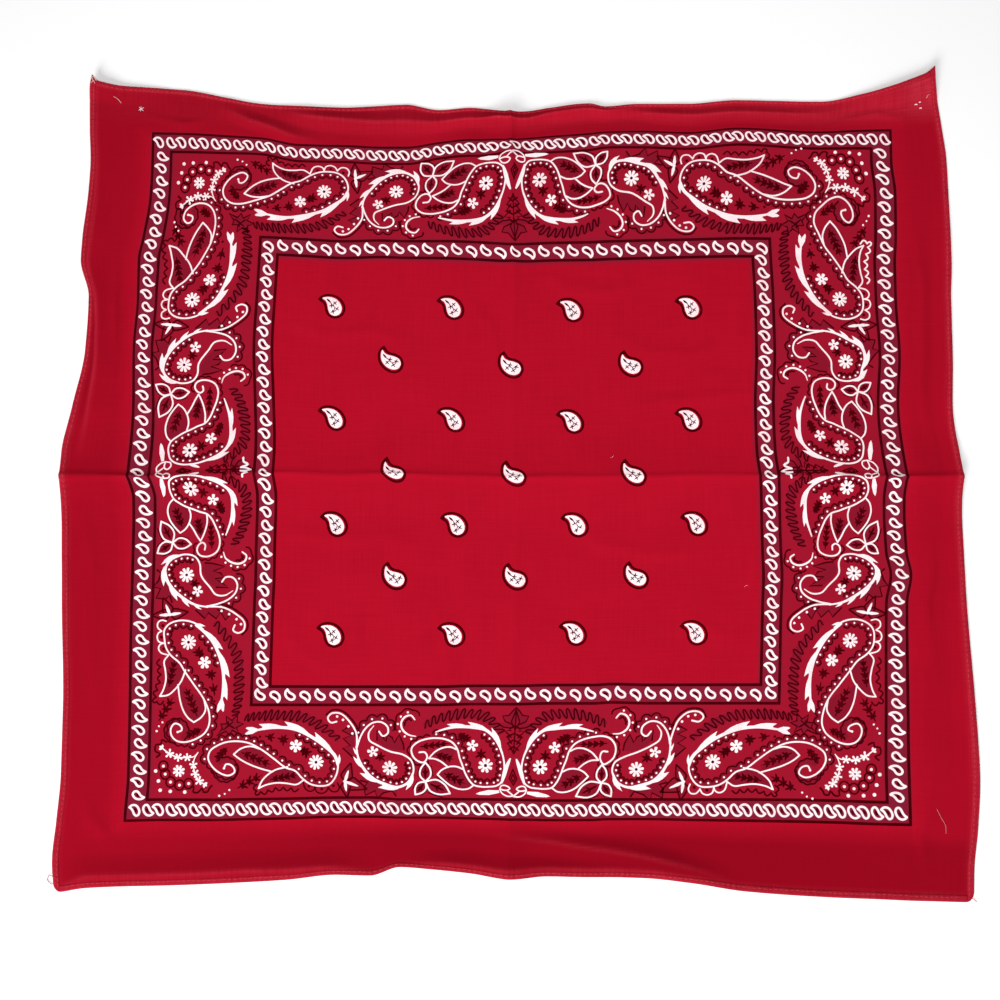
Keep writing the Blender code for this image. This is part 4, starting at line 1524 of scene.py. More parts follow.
@dataclass
class PrintSheet:
    """All the print, laid on the cloth motif by motif."""

    cloth: LaidCloth
    above: dict[Ink, float] = field(
        default_factory=lambda: {Ink.SHADE: 0.036, Ink.DARK: 0.050, Ink.WHITE: 0.065, Ink.MARKS: 0.080})
    points: dict[Ink, list[Array]] = field(default_factory=lambda: {ink: [] for ink in Ink})
    faces: dict[Ink, list[Array]] = field(default_factory=lambda: {ink: [] for ink in Ink})
    count: dict[Ink, int] = field(default_factory=lambda: {ink: 0 for ink in Ink})

    def lay(self, motif: Motif) -> None:
        """Join a motif's shapes and lay them on the cloth, cut along the cloth's own grid."""
        for ink, shapes in motif.shapes.items():
            if shapes:
                self.lay_ink(ink, shapes)

    def lay_ink(self, ink: Ink, shapes: list[Array]) -> None:
        """Join and lay the shapes of one ink.

        Args:
            ink: the ink.
            shapes: anticlockwise outlines on the cut.
        """
        every = np.vstack(shapes)
        low = every.min(axis=0) - 0.01
        high = every.max(axis=0) + 0.01
        corners: list[Vector] = []
        loops: list[list[int]] = []
        for shape in shapes:
            loops.append(list(range(len(corners), len(corners) + len(shape))))
            corners.extend(Vector(point) for point in shape)
        edges: list[tuple[int, int]] = []
        for axis, lines in ((0, self.cloth.u_lines), (1, self.cloth.v_lines)):
            for line in lines[(lines > low[axis]) & (lines < high[axis])]:
                start = (line, low[1]) if axis == 0 else (low[0], line)
                end = (line, high[1]) if axis == 0 else (high[0], line)
                edges.append((len(corners), len(corners) + 1))
                corners.extend((Vector(start), Vector(end)))
        found, _, triangles, _, _, sources = delaunay_2d_cdt(corners, edges, loops, 0, 1e-4)
        kept = []
        for face, source in zip(triangles, sources):
            if source:
                middle = sum((found[index] for index in face), Vector((0.0, 0.0))) / 3.0
                if any(holds(shapes[index], middle) for index in source):
                    kept.append(face)
        if not kept:
            return
        used = sorted({index for face in kept for index in face})
        renumber = {old: new for new, old in enumerate(used)}
        start = self.count[ink]
        self.points[ink].append(np.array([found[index] for index in used]))
        self.faces[ink].append(np.array([[renumber[index] + start for index in face] for face in kept]))
        self.count[ink] += len(used)

    def build(self, ink: Ink, finish: InkFinish) -> Piece:
        """Build the print of one ink as a piece.

        Args:
            ink: the ink.
            finish: its finish.

        Returns:
            The piece.
        """
        flat = np.vstack(self.points[ink])
        laid = self.cloth.on_sheet(flat[:, 0], flat[:, 1], self.above[ink])
        piece = new_piece(f"print_{ink.value}", laid, np.vstack(self.faces[ink]), finish.build())
        set_uv(piece, "Cut", flat * METRES)
        baked = (flat + (HALF_WIDTH, HALF_WIDTH)) / (2.0 * HALF_WIDTH)
        set_uv(piece, "OFBake", baked)
        return attach(piece)


@dataclass(frozen=True)
class RopeFrame:
    """A printed frame of white drops between two dark lines."""

    left: float
    right: float
    top: float
    bottom: float
    band: float
    level_count: int
    upright_count: int
    level_size: tuple[float, float]
    upright_size: tuple[float, float]
    level_tails_upright: bool
    overrun: float
    low_inset: float
    flips: tuple[int, int, int, int]
    line_width: float = 1.75
    stroke: float = 1.40

    DROP = ((2, 3.5), (3.05, 1.8), (2.9, -0.5), (1.6, -2.2), (-0.8, -3.35), (-2.6, -2.7), (-3.05, -1.2),
            (-2.1, 0.1), (-0.1, 1.25), (1.2, 2.5))

    def draw(self, sheet: PrintSheet) -> None:
        """Draw the lines, then the drops side by side."""
        for inset in (self.line_width / 2.0, self.band - self.line_width / 2.0):
            self.draw_lines(sheet, inset)
        middle = self.band / 2.0
        top_flip, bottom_flip, left_flip, right_flip = self.flips
        for level, inset, flip in (
                (self.top - middle, 1.5, top_flip), (self.bottom + middle, self.low_inset, bottom_flip)):
            places = self.even_places(sheet.cloth, self.left + inset, self.right - inset, level)
            for index, place in enumerate(places):
                self.draw_drop(
                    sheet, place, level, index % 2 == flip, not self.level_tails_upright, self.level_size)
        height = self.top - self.bottom - 2.0 * (self.band - self.overrun)
        pitch = height / self.upright_count
        for index in range(self.upright_count):
            level = self.top - self.band + self.overrun - (index + 0.5) * pitch
            for place, flip in ((self.left + middle, left_flip), (self.right - middle, right_flip)):
                self.draw_drop(sheet, place, level, index % 2 == flip, True, self.upright_size)

    def even_places(self, cloth: LaidCloth, start: float, end: float, level: float) -> Array:
        """Places of the drops along a level row, evenly spaced as the cloth lies.

        Args:
            cloth: the laid cloth.
            start: where the row starts across the cut.
            end: where it ends.
            level: its place up the cut.

        Returns:
            Each drop's place across the cut.
        """
        fine = np.linspace(start, end, 240)
        x, y, _ = cloth.lay(fine, np.full(len(fine), level))
        arcs = arc_places(np.stack((x, y), axis=1))
        return np.interp((np.arange(self.level_count) + 0.5) / self.level_count * arcs[-1], arcs, fine)

    def draw_lines(self, sheet: PrintSheet, inset: float) -> None:
        """Draw one dark line right round, at a distance in from the frame's edge."""
        corners = (
            (self.left + inset, self.top - inset), (self.right - inset, self.top - inset),
            (self.right - inset, self.bottom + inset), (self.left + inset, self.bottom + inset))
        half = self.line_width / 2.0
        for start, end in zip(corners, corners[1:] + corners[:1]):
            motif = Motif(Placement((0, 0), (1, 0), (0, 1)))
            run = np.subtract(end, start)
            ahead = run / np.hypot(*run)
            side = np.array((-ahead[1], ahead[0])) * half
            first = np.array(start) - ahead * half
            last = np.array(end) - ahead * half
            motif.add(Ink.DARK, np.array((first - side, last - side, last + side, first + side)))
            sheet.lay(motif)

    def draw_drop(self, sheet: PrintSheet, u: float, v: float, flipped: bool, tail_level: bool,
                  size: tuple[float, float]) -> None:
        """Draw one white drop as a closed ring, dark inside.

        Args:
            sheet: the print.
            u: its place across the cut.
            v: its place up the cut.
            flipped: whether its tail is up and left, not down and right.
            tail_level: whether the tail points level, not upright.
            size: its size across the tail and along it, beside the drawn one.
        """
        turn = -1.0 if flipped else 1.0
        if tail_level:
            place = Placement((u, v), (0, -turn), (turn, 0), *size)
        else:
            place = Placement((u, v), (turn, 0), (0, -turn), *size)
        motif = Motif(place, sample=1.0)
        shape = [(across, along + 0.6) for across, along in self.DROP]
        outline = motif.line(Ink.WHITE, shape, self.stroke, closed=True)
        tip, before = place.sized(((2.1, 5), (1.7, 3.2)))
        motif.blade(Ink.WHITE, before, tip, 2)
        heart = outline[:-1].mean(axis=0)
        motif.add(Ink.DARK, heart + (outline[:-1] - heart) * 0.36 - (0.1, 0.1))
        sheet.lay(motif)


@dataclass(frozen=True)
class FieldDrop:
    """A white drop of the plain field, with a dark outline and small dark marks inside."""

    u: float
    v: float
    upright: bool

    OUTER = ((-9.9, -5.2), (-8.2, -7.3), (-5.4, -8.4), (0.2, -8), (4.8, -4.7), (7.1, 0.6), (5.8, 5),
             (1.4, 7.1), (-2.9, 5.7), (-5, 2.3), (-5.7, -1), (-7.2, -3.4))
    INNER = ((-7.6, -5.8), (-4.9, -6.7), (-0.4, -6.2), (3.2, -3.4), (4.9, 0.6), (3.9, 4), (0.9, 5.5),
             (-2.1, 4.3), (-3.6, 1.2), (-4.4, -2.2), (-5.6, -4.4))

    def draw(self, sheet: PrintSheet) -> None:
        """Draw the drop; an upright one is the other's mirror image about the slanting line."""
        if self.upright:
            place = Placement((self.u, self.v), (0, -1), (1, 0))
        else:
            place = Placement((self.u, self.v), (1, 0), (0, -1))
        motif = Motif(place, sample=1.1)
        motif.fill(Ink.WHITE, self.INNER)
        outline = spline(self.OUTER, 1.1, True)
        middle = outline * 0.93 + np.array((-0.15, -0.1)) * 0.5
        motif.ribbon(Ink.DARK, middle, 1.45, True)
        motif.blade(Ink.DARK, np.array((-6.9, -6)), np.array((-10.4, -4.6)), 2.2)
        for centre, turn in (((0.4, -2.9), 0.3), ((-1.6, -1.1), 0.9), ((1.9, 0.9), 0.1), ((-0.5, 2.8), 0.7)):
            motif.burst(Ink.MARKS, centre, 1.6, 4, turn + 0.5)
        motif.blade(Ink.MARKS, np.array((-2.4, -3.4)), np.array((-5, -5.6)), 1.3)
        motif.line(Ink.MARKS, ((-2.6, -3.6), (-1.2, -1.6), (0.6, 0.2), (-0.2, 2.2)), 0.5)
        sheet.lay(motif)


@dataclass(frozen=True)
class BorderHalf:
    """Half of one side of the paisley border, from the frame's corner to the middle of the side."""

    placement: Placement
    corner_flower: tuple[float, float] | None
    upright: bool
    line_width: float = 1.02
    white_loops: bool = True
    white_rim: bool = False

    def motif(self) -> Motif:
        """A fresh motif in this half's own axes."""
        return Motif(self.placement)

    def draw(self, sheet: PrintSheet) -> None:
        """Draw every motif of this half side."""
        if self.corner_flower:
            self.draw_corner(sheet)
        self.draw_first_paisley(sheet)
        self.draw_fleur(sheet)
        self.draw_second_paisley(sheet)
        self.draw_trefoil(sheet)
        self.draw_hook(sheet)
        self.draw_third_paisley(sheet)
        self.draw_middle(sheet)

    def draw_corner(self, sheet: PrintSheet) -> None:
        """Draw the corner: a flower ringed with dots, a chain of florets and a dark maple leaf."""
        middle = np.array(self.corner_flower)
        motif = Motif(Placement(self.placement.corner, self.placement.along, self.placement.inward))
        motif.flower(middle, 3.9, 8, 0.35, 0.60)
        turns = np.linspace(0, 2.0 * math.pi, 19)
        for s, t in ((6.6, -7.9), (0.8, -8.9), (-5, -7), (-8.6, -2), (-9.9, 3)):
            centre = middle + (s, t)
            motif.disc(Ink.WHITE, centre, 0.95)
            ring = centre + 2.95 * np.stack((np.cos(turns), 1.08 * np.sin(turns)), axis=1)
            motif.ribbon(Ink.DARK, ring, 1.05, True)
        for s, t in ((4.4, -13.3), (-4.8, -12.9), (-11.3, -12.2), (-12.8, -6.3), (-14.8, 0)):
            motif.disc(Ink.WHITE, middle + (s, t), 1.15)
        arms = (
            ((12.2, 11.8), (9.8, 7.6), (9.2, 3.8), (10.5, -1.6), (13.2, -6.1), (16.4, -8.2)),
            ((12.2, 11.8), (9.4, 9), (5.2, 8.5), (-0.5, 8.5), (-6.3, 10.8), (-10.9, 14.2)))
        for arm in arms:
            places = [tuple(middle + place) for place in arm]
            motif.line(Ink.WHITE, places, 0.80, ends=(0.5, 1))
            for index, place in enumerate(places[-4:-1]):
                motif.flower(place, 2.65 + 0.15 * index, 5, 0.4 + 0.5 * index, 0, 0.27)
            end = np.array(places[-1])
            ahead = end - places[-2]
            facing = math.atan2(ahead[1], ahead[0])
            for lean in (-1, 0, 1):
                tip = end + 2.3 * np.array((math.cos(facing + lean), math.sin(facing + lean)))
                motif.blade(Ink.WHITE, end, tip, 1.6)
        for bracket in (
                ((21.6, -8.8), (19.8, -10.8), (18.8, -13), (16.2, -13.2), (15.2, -10.8), (12.6, -13.6),
                 (9.6, -13.2), (10, -10.2), (7.8, -9.8)),
                ((-14.8, 8.4), (-12.2, 10.6), (-15.4, 12.4), (-15, 16.2), (-11.8, 16.8), (-11.4, 19.2),
                 (-7.8, 17.8))):
            motif.ribbon(Ink.DARK, spline([tuple(middle + place) for place in bracket], 1.6), 1.15)
        for trail in (
                ((26.2, -15.6), (29.6, -14.4), (32.4, -12)),
                ((-14.8, 24.8), (-13.4, 27.8), (-11.2, 30.2))):
            for place, size in zip(trail, (0.75, 0.6, 0.65)):
                motif.disc(Ink.WHITE, middle + place, size, 8)
        leaf = np.array((
            (56.6, 54.2), (60.2, 58.6), (59.2, 61.4), (63, 61.6), (62.4, 66.2), (66.2, 63.6), (69.6, 67.4),
            (69.4, 62.6), (73.4, 61.6), (69, 59.2), (71, 55.4), (66.4, 57.6), (64.8, 54.4), (62.6, 57)))
        motif.ribbon(Ink.DARK, np.vstack((leaf, leaf[:1])), 1.1, True)
        motif.add(Ink.SHADE, leaf)
        for start, end in (
                ((60.6, 57.6), (67.6, 63.4)), ((63.8, 60), (63.8, 63.6)), ((64.6, 60.6), (68.6, 58.4))):
            motif.blade(Ink.DARK, np.array(start), np.array(end), 1.2)
        sheet.lay(motif)

    def draw_first_paisley(self, sheet: PrintSheet) -> None:
        """Draw the paisley next to the corner, with a curled tail, two leaves and a feathered edge."""
        motif = self.motif()
        width = self.line_width
        level_head = ((58.6, 26.2), (53.4, 30.2), (50.5, 35.8), (51.4, 41), (55.4, 44.8), (62, 46))
        upright_head = (
            (57.6, 25.8), (52.6, 28.8), (50.4, 33.2), (51.6, 38.2), (54.8, 42), (59.2, 44.9), (65.4, 45.8))
        head = upright_head if self.upright else level_head
        spine = motif.line(Ink.WHITE, (
            (59.9, 29.4), (60.9, 31.8), (63, 31.8), (65.4, 30), (66.2, 27.3), (63, 25.2), *head,
            (73, 43.8), (81.5, 40.6), (89, 35), (96.5, 29.2),
            (102, 27.2), (107.6, 23), (113, 20.2), (119, 19.4), (125.2, 20.6), (129.6, 24.2),
            (132.2, 31), (130.6, 38), (126, 42.4)), width)
        motif.disc(Ink.WHITE, spine[0], 0.75, 8)
        motif.scallops(spine, 1, 0.05, 0.21, pitch=3.8, dots=False, near=1.5, bulge=1.3)
        motif.scallops(spine, 1, 0.21, 0.56, pitch=4.9, near=2.8)
        motif.scallops(spine, 1, 0.57, 0.965, pitch=5.7, near=2.8)
        motif.leaf(
            ((83, 17.4), (86, 19.2), (91.4, 20.4), (97.2, 19.9), (103.4, 19.2), (107.8, 21.8)),
            ((83, 17.4), (83.6, 22.2), (86.4, 25.8), (90.6, 28.2), (97.6, 29.6)), width * 0.95)
        motif.leaf(
            ((64.4, 39.2), (68.6, 35.4), (74, 32), (80.6, 29.4), (88.6, 27)),
            ((64.4, 39.2), (68.8, 41.2), (74.6, 41.9), (81.2, 40.8)), width * 0.95)
        loops = Ink.WHITE if self.white_loops else Ink.DARK
        for points in (
                ((107.8, 21.4), (109.6, 17), (112.8, 15.6), (115.6, 16.8), (116.4, 19)),
                ((116.4, 18.6), (117.4, 15.8), (120.4, 14.8), (123.4, 16.2), (124.8, 18.8)),
                ((124.8, 18.6), (127.4, 16.4), (130.8, 17), (132.4, 19.6), (131.8, 22.4))):
            motif.line(loops, points, width * 0.9)
        for s, t in ((112.2, 18.8), (120.6, 17.6), (128.6, 20.2)):
            motif.disc(Ink.DARK, motif.at((s, t)), 0.95, 8)
        start = (75.4, 52.6) if self.upright else (73.4, 52)
        feather = motif.feather((
            start, (79.8, 53.4), (86.2, 54.4), (93.2, 54.6), (101, 53.4), (109, 51),
            (117, 47.4), (123.4, 43), (129, 38.6), (131.9, 32.8))[:9 if self.upright else None], 2,
            ((0.13, 14, 3.3), (0.36, 17, 3.6), (0.64, 18, 3.4), (0.93, 5, 3.2)), 1)
        for prong in ((-1.6, 2), (-2, -1.8)):
            motif.blade(Ink.WHITE, feather[6], feather[0] + prong, 2.6)
        motif.scallops(feather, -1, 0.46, 0.90, pitch=5.4, near=2.8)
        for root, tip, pairs, reach in (
                ((61, 43), (55, 35), 3, 2.5), ((69.4, 39.4), (87.6, 31), 4, 2.7),
                ((87.6, 22.4), (104.6, 25.2), 4, 2.4), ((68, 17.6), (82.4, 25.2), 3, 3.2),
                ((106, 41.6), (111.6, 37.8), 2, 3), ((83.4, 49.2), (89.4, 48), 1, 2.6)):
            motif.sprig(root, tip, pairs, reach)
        motif.burst(Ink.DARK, (94.6, 46.8), 3.5, 7, 0.2)
        motif.flower((102.2, 42.6), 4, 6, 0.45, 0.5)
        motif.flower((117, 33.6), 4.8, 10, 0.1, 0.95)
        motif.dot(Ink.DARK, (80.4, 48.6), 0.8)
        motif.comb(((71, 61.2), (77.4, 62.6), (85.4, 63.2), (93.2, 63), (101.2, 62.6), (109.2, 61),
                    (117.4, 57.4), (124, 53.2), (130.8, 48.6)), 13 if self.upright else 15, 7, 2.6, 0.76)
        curl = motif.at((60.8, 28.6))
        turns = np.linspace(math.radians(180), math.radians(500), 50)
        ring = np.stack((np.cos(turns), np.sin(turns)), axis=1)
        motif.ribbon(Ink.SHADE, curl + 6.2 * ring, 3.4)
        motif.ribbon(Ink.DARK, curl + (7.4 + 0.7 * np.abs(np.sin(turns * 5.5)))[:, None] * ring, 1)
        upper = spline(motif.placement.sized((
            (79.6, 20), (79.8, 14.6), (84.6, 14.4), (91, 16.4), (98, 16.2), (104.6, 15.4))), 1.2)
        rim = arc_places(upper)[-1]
        waves = np.linspace(0, 7, 71)
        motif.ribbon(Ink.WHITE if self.white_rim else Ink.DARK, along_path(
            upper, waves / 7.0 * rim, 1.4 - 2.3 * np.abs(np.sin(math.pi * waves))), 1)
        sheet.lay(motif)

    def draw_fleur(self, sheet: PrintSheet) -> None:
        """Draw the small white three-bladed spray with its dark outline."""
        motif = self.motif()
        node = motif.at((136.4, 24.2))
        for tip in ((136, 17.2), (143.2, 20.6), (137.6, 30.8)):
            end = motif.at(tip)
            run = end - node
            motif.blade(Ink.WHITE, node - run * 0.12, end, 2)
            side = np.array((-run[1], run[0])) * 0.46
            edges = [
                spline((node, node + run * 0.42 + side * hand, node + run * 0.90 + side * hand * 0.70,
                        node + run * 1.62), 1.2) for hand in (-1, 1)]
            for edge in edges:
                motif.ribbon(Ink.DARK, edge, 1)
            motif.add(Ink.SHADE, np.vstack((edges[0], edges[1][::-1])))
        sheet.lay(motif)

    def draw_second_paisley(self, sheet: PrintSheet) -> None:
        """Draw the middle paisley, with a serrated back, and its two curled tails."""
        motif = self.motif()
        width = self.line_width
        back = ((141.2, 45.4), (142.8, 38.4), (146.8, 31.4), (152.4, 24.8), (159.6, 20.4), (167.6, 19.4),
                (173.6, 23), (177.2, 30.4), (175.8, 37), (170.8, 41.2), (162, 43.8), (153.4, 47.2),
                (149, 49.6), (148.4, 54), (151.4, 58.4))
        spine = motif.line(Ink.WHITE, back, width, ends=(1, 0.4))
        motif.scallops(spine, 1, 0.10, 0.63, pitch=4.5, near=2.8)
        level_barbs = ((0.03, 4.5, 2), (0.13, 8, 2.8), (0.32, 11, 3.4), (0.55, 12, 3.6), (0.82, 9, 3.2))
        upright_barbs = ((0.09, 4.5, 2), (0.22, 7, 2.6), (0.37, 10, 3.2), (0.58, 11, 3.5), (0.78, 11, 3.2))
        motif.feather(back[:8], 1.9, upright_barbs if self.upright else level_barbs, -1)
        curl = (
            (141.6, 44.6), (143, 50), (145.8, 55.8), (150.2, 59.8), (155.8, 60.4), (160.2, 57.6),
            (160.4, 54), (157.4, 52.4), (154.8, 55))
        tail = motif.line(Ink.WHITE, curl[:-1] if self.upright else curl, width)
        motif.scallops(tail, 1, 0.16, 0.78, pitch=4.6)
        second = motif.line(Ink.WHITE, (
            (141.6, 45.4), (140.8, 53.4), (136.2, 60.4), (130.6, 65), (125.2, 64.8), (123.2, 61.8),
            (125.2, 59), (128.6, 59.8)), width)
        for place in (0.22, 0.36, 0.50, 0.64):
            total = arc_places(second)[-1]
            for centre in along_path(second, np.array([place * total]), 2.3):
                motif.disc(Ink.WHITE, centre, 0.8, 8)
        edge = spline(along_path(second, np.linspace(0.1, 0.8, 9) * arc_places(second)[-1], -1.9), 1.2)
        motif.ribbon(Ink.DARK, edge, 1.1)
        big_out, small_out = (0.9, 3) if self.upright else (0, 0)
        motif.flower((162.6, 33.6 - big_out), 4.7, 9, 0.2, 0.9)
        motif.flower((151.4, 43.0 - small_out), 3.5, 5, 0.5, 0.5, 0.32)
        motif.burst(Ink.DARK, (156.4, 40.0 - small_out * 0.6), 3.3, 6, 0.4)
        motif.jagged((
            (166.5, 14.4), (164, 17), (158.4, 15.6), (154.4, 12.8), (153.2, 17), (147, 14.8), (146.4, 20.2),
            (148.6, 22.8), (144, 24.4)), ((146.8, 29), (152.4, 24.4), (159.6, 20), (167.6, 19)))
        motif.jagged((
            (139.6, 38.6), (133.4, 43.8), (137.6, 45.6), (133.2, 49.6), (138, 51.8), (132.2, 54.4),
            (137, 57.4)), ((139.6, 52), (140, 44)))
        motif.jagged((
            (171, 44.2), (170.4, 47.8), (167.6, 53), (164.8, 48.6), (163.4, 51.6), (160.2, 53.4), (159.6, 49.4),
            (157.6, 51.6), (153.4, 55.6), (153.8, 49.6)), ((158, 46.4), (166, 43.8)))
        sheet.lay(motif)

    def draw_trefoil(self, sheet: PrintSheet) -> None:
        """Draw the outlined spray of three leaves."""
        motif = self.motif()
        node = motif.at((185.6, 24.4))
        deep = 34.0 if self.upright else 36.4
        for tip, fat in (((178.2, 13.6), 0.30), ((199.4, 15.2), 0.26), ((184.4, deep), 0.29)):
            end = motif.at(tip)
            run = end - node
            side = np.array((-run[1], run[0])) * fat
            one = spline((node, node + run * 0.32 + side * 0.92, node + run * 0.66 + side * 0.84, end), 1)
            other = spline((end, node + run * 0.66 - side * 0.84, node + run * 0.32 - side * 0.92, node), 1)
            motif.ribbon(Ink.WHITE, one, 1.02)
            motif.ribbon(Ink.WHITE, other, 1.02)
            motif.add(Ink.SHADE, np.vstack((one, other)))
            motif.disc(Ink.WHITE, end, 0.5, 8)
            motif.blade(Ink.DARK, node + run * 0.20, node + run * 0.78, 1.7)
            for hand in (-1, 1):
                foot = node + run * 0.42
                motif.blade(Ink.DARK, foot, foot + run * 0.16 + side * hand * 0.55, 1)
                rim = node + run * 0.55 + side * hand * 1.30
                motif.blade(Ink.DARK, rim - run * 0.28, rim + run * 0.34 - side * hand * 0.3, 1)
        sheet.lay(motif)

    def draw_hook(self, sheet: PrintSheet) -> None:
        """Draw the small white hook with its dots."""
        motif = self.motif()
        path = motif.line(Ink.WHITE, (
            (178, 52.2), (173.2, 53), (169.4, 56), (168.4, 59.8), (170.6, 63.2), (174.2, 64),
            (176.6, 61.4)), 1.15, ends=(0.4, 0.7))
        total = arc_places(path)[-1]
        for centre in along_path(path, np.linspace(0.10, 0.80, 6) * total, 2):
            motif.disc(Ink.WHITE, centre, 0.68, 8)
        motif.scallops(path, 1, 0.42, 1, pitch=3.4, dots=False, near=3.4, bulge=1.0)
        motif.scallops(path, -1, 0.45, 0.98, pitch=3.0, dots=False, near=1.6, bulge=0.8)
        sheet.lay(motif)

    def draw_third_paisley(self, sheet: PrintSheet) -> None:
        """Draw the paisley next to the middle, with two leaves and a feathered edge."""
        motif = self.motif()
        width = self.line_width
        spine = motif.line(Ink.WHITE, (
            (180.4, 42.4), (183.8, 42.2), (185.4, 39.4), (183.4, 36.6), (179.8, 36.8), (176.4, 40.4),
            (175.6, 45.4), (178.8, 49.2), (184.4, 50.6), (190, 50.2), (195.8, 48.6), (200.4, 46),
            (203.6, 41.6), (205.2, 36.2), (206.8, 32.2), (208.4, 27.8), (210.8, 22.8), (213.8, 18.4),
            (218, 16.4), (222.6, 16), (227.2, 17), (230.4, 20.4), (232.2, 26.4), (232.2, 32.4),
            (230.8, 38.2), (228.6, 43.2), (224.8, 48.2), (219.2, 52.4), (213.8, 54.6)), width)
        motif.scallops(spine, 1, 0.27, 0.965, pitch=4.6, near=2.8)
        motif.scallops(spine, 1, 0.06, 0.26, pitch=4.0, dots=False, near=1.4, bulge=1.2)
        motif.leaf(
            ((192, 27.4), (195.8, 23.4), (200.4, 19.6), (205.8, 17.2), (210.6, 16.8), (213.8, 18.4)),
            ((192, 27.4), (194.4, 29.8), (198.8, 31.4), (203.4, 31.2), (207.4, 29.4)), width * 0.95)
        motif.leaf(
            ((186.4, 38.4), (190, 37), (194.2, 34.6), (198.2, 31.2)),
            ((186.4, 38.4), (190, 41.4), (194.8, 43.4), (199.4, 43.4), (202.8, 41.8)), width * 0.95)
        motif.feather((
            (189.6, 53.4), (193, 54.2), (199.6, 55.4), (206.4, 55.4), (213, 54.6), (219.2, 52.8),
            (224.6, 48.6), (228.4, 43.2), (230.8, 37.6)), 1.9, (
                (0.18, 12, 2.5), (0.42, 12.5, 2.9), (0.69, 13, 2.9)), 1)
        if self.upright:
            motif.feather(((232, 30), (233.4, 33.6), (235.2, 37.4)), 1.7, (), -1)
        else:
            motif.feather(((230.6, 19.6), (232.2, 25.6), (233.6, 30), (236, 35.6)), 2.5, (), -1)
        for root, tip, pairs, reach in (
                ((196, 27.6), (208.2, 20.4), 3, 2.7), ((190.6, 39.6), (201, 35.8), 3, 2.3),
                ((181, 46.6), (198.4, 45.8), 4, 2), ((203.4, 51), (210.8, 46.8), 3, 2.5)):
            motif.sprig(root, tip, pairs, reach)
        motif.burst(Ink.DARK, (217.6, 37.6), 3.5, 6, 0.5)
        motif.flower((220.4, 30.6), 4.6, 8, 0.3, 1.05)
        motif.flower((212.4, 43.4), 3.6, 5, 0.15, 0.5, 0.32)
        motif.comb(((182.4, 57.2), (188.6, 60.6), (195.6, 62.8), (203.4, 63.8), (211.4, 63.8), (218.6, 61.8),
                    (224.2, 57.2), (230, 50.6)), 12, 7, 2.4)
        sheet.lay(motif)

    def draw_middle(self, sheet: PrintSheet) -> None:
        """Draw this half of the knot, the dark lozenge and the dark fir in the middle of the side."""
        motif = self.motif()
        middle = HALF_SIDE
        motif.blade(Ink.WHITE, *motif.placement.sized(((229, 13.4), (214.8, 13.2))), 3.2)
        for points in (
                ((229.4, 14.8), (230.4, 17.6), (233.2, 18.4), (235.8, 16.6), (233.8, 14.8), (229.4, 14.8)),
                ((229.4, 14.8), (230.6, 12.8), (234, 11.6), (middle, 12.2)),
                ((233.8, 14.8), (235.6, 13.6), (middle, 12.2))):
            motif.line(Ink.WHITE, points, 0.9, ends=(0.8, 1))
        half_line = 0.5
        edge = middle - half_line / self.placement.s_scale / 2.0
        deeper = 3.0 if self.upright else 0.0
        for points in (
                ((middle, 19.6), (235.4, 23.6), (middle, 29.4)),
                ((middle, 21.8), (236.6, 23.8), (middle, 26.4)),
                ((middle, 38.4), (236, 42), (233.8, 44.6), (236.4, 44.4), (233.4, 48.6), (235.8, 48.4),
                 (231.6, 52.4), (235.6, 52.8)),
                ((middle, 53.4), (235.2, 58.4), (middle, 66.8)),
                ((236.4, 56.4), (231.2, 58.6), (229.6, 62.2), (233.6, 62.8), (235.4, 65.4), (middle, 68.2)),
                ((235.8, 54.2), (230.6, 54.6), (226.4, 57.2))):
            moved = [(s, t + deeper * (1.0 if t < 50.0 else 0.5)) for s, t in points]
            path = motif.placement.sized(moved)
            motif.ribbon(Ink.DARK, path, 0.85)
            centre = motif.placement.sized(((edge, moved[-1][1]), (edge, moved[0][1])))
            motif.add(Ink.SHADE, np.vstack((path, centre)))
        motif.ribbon(Ink.DARK, motif.placement.sized(((edge, 40.0 + deeper), (edge, 66))), half_line)
        for level, reach in ((43, 3.8), (47, 5), (51, 5.8), (56, 4)):
            foot, tip = motif.placement.sized((
                (middle - 0.3, level + deeper), (middle - reach, level + deeper - 2.6)))
            motif.blade(Ink.DARK, foot, tip, 1.3)
        if self.upright:
            motif.line(Ink.WHITE, ((228.6, 63), (231.6, 63.4), (233.6, 66.2), (236.2, 62)), 1.2)
            motif.line(Ink.WHITE, ((236.2, 62), (236.6, 65.4), (middle, 68.4)), 1)
        sheet.lay(motif)


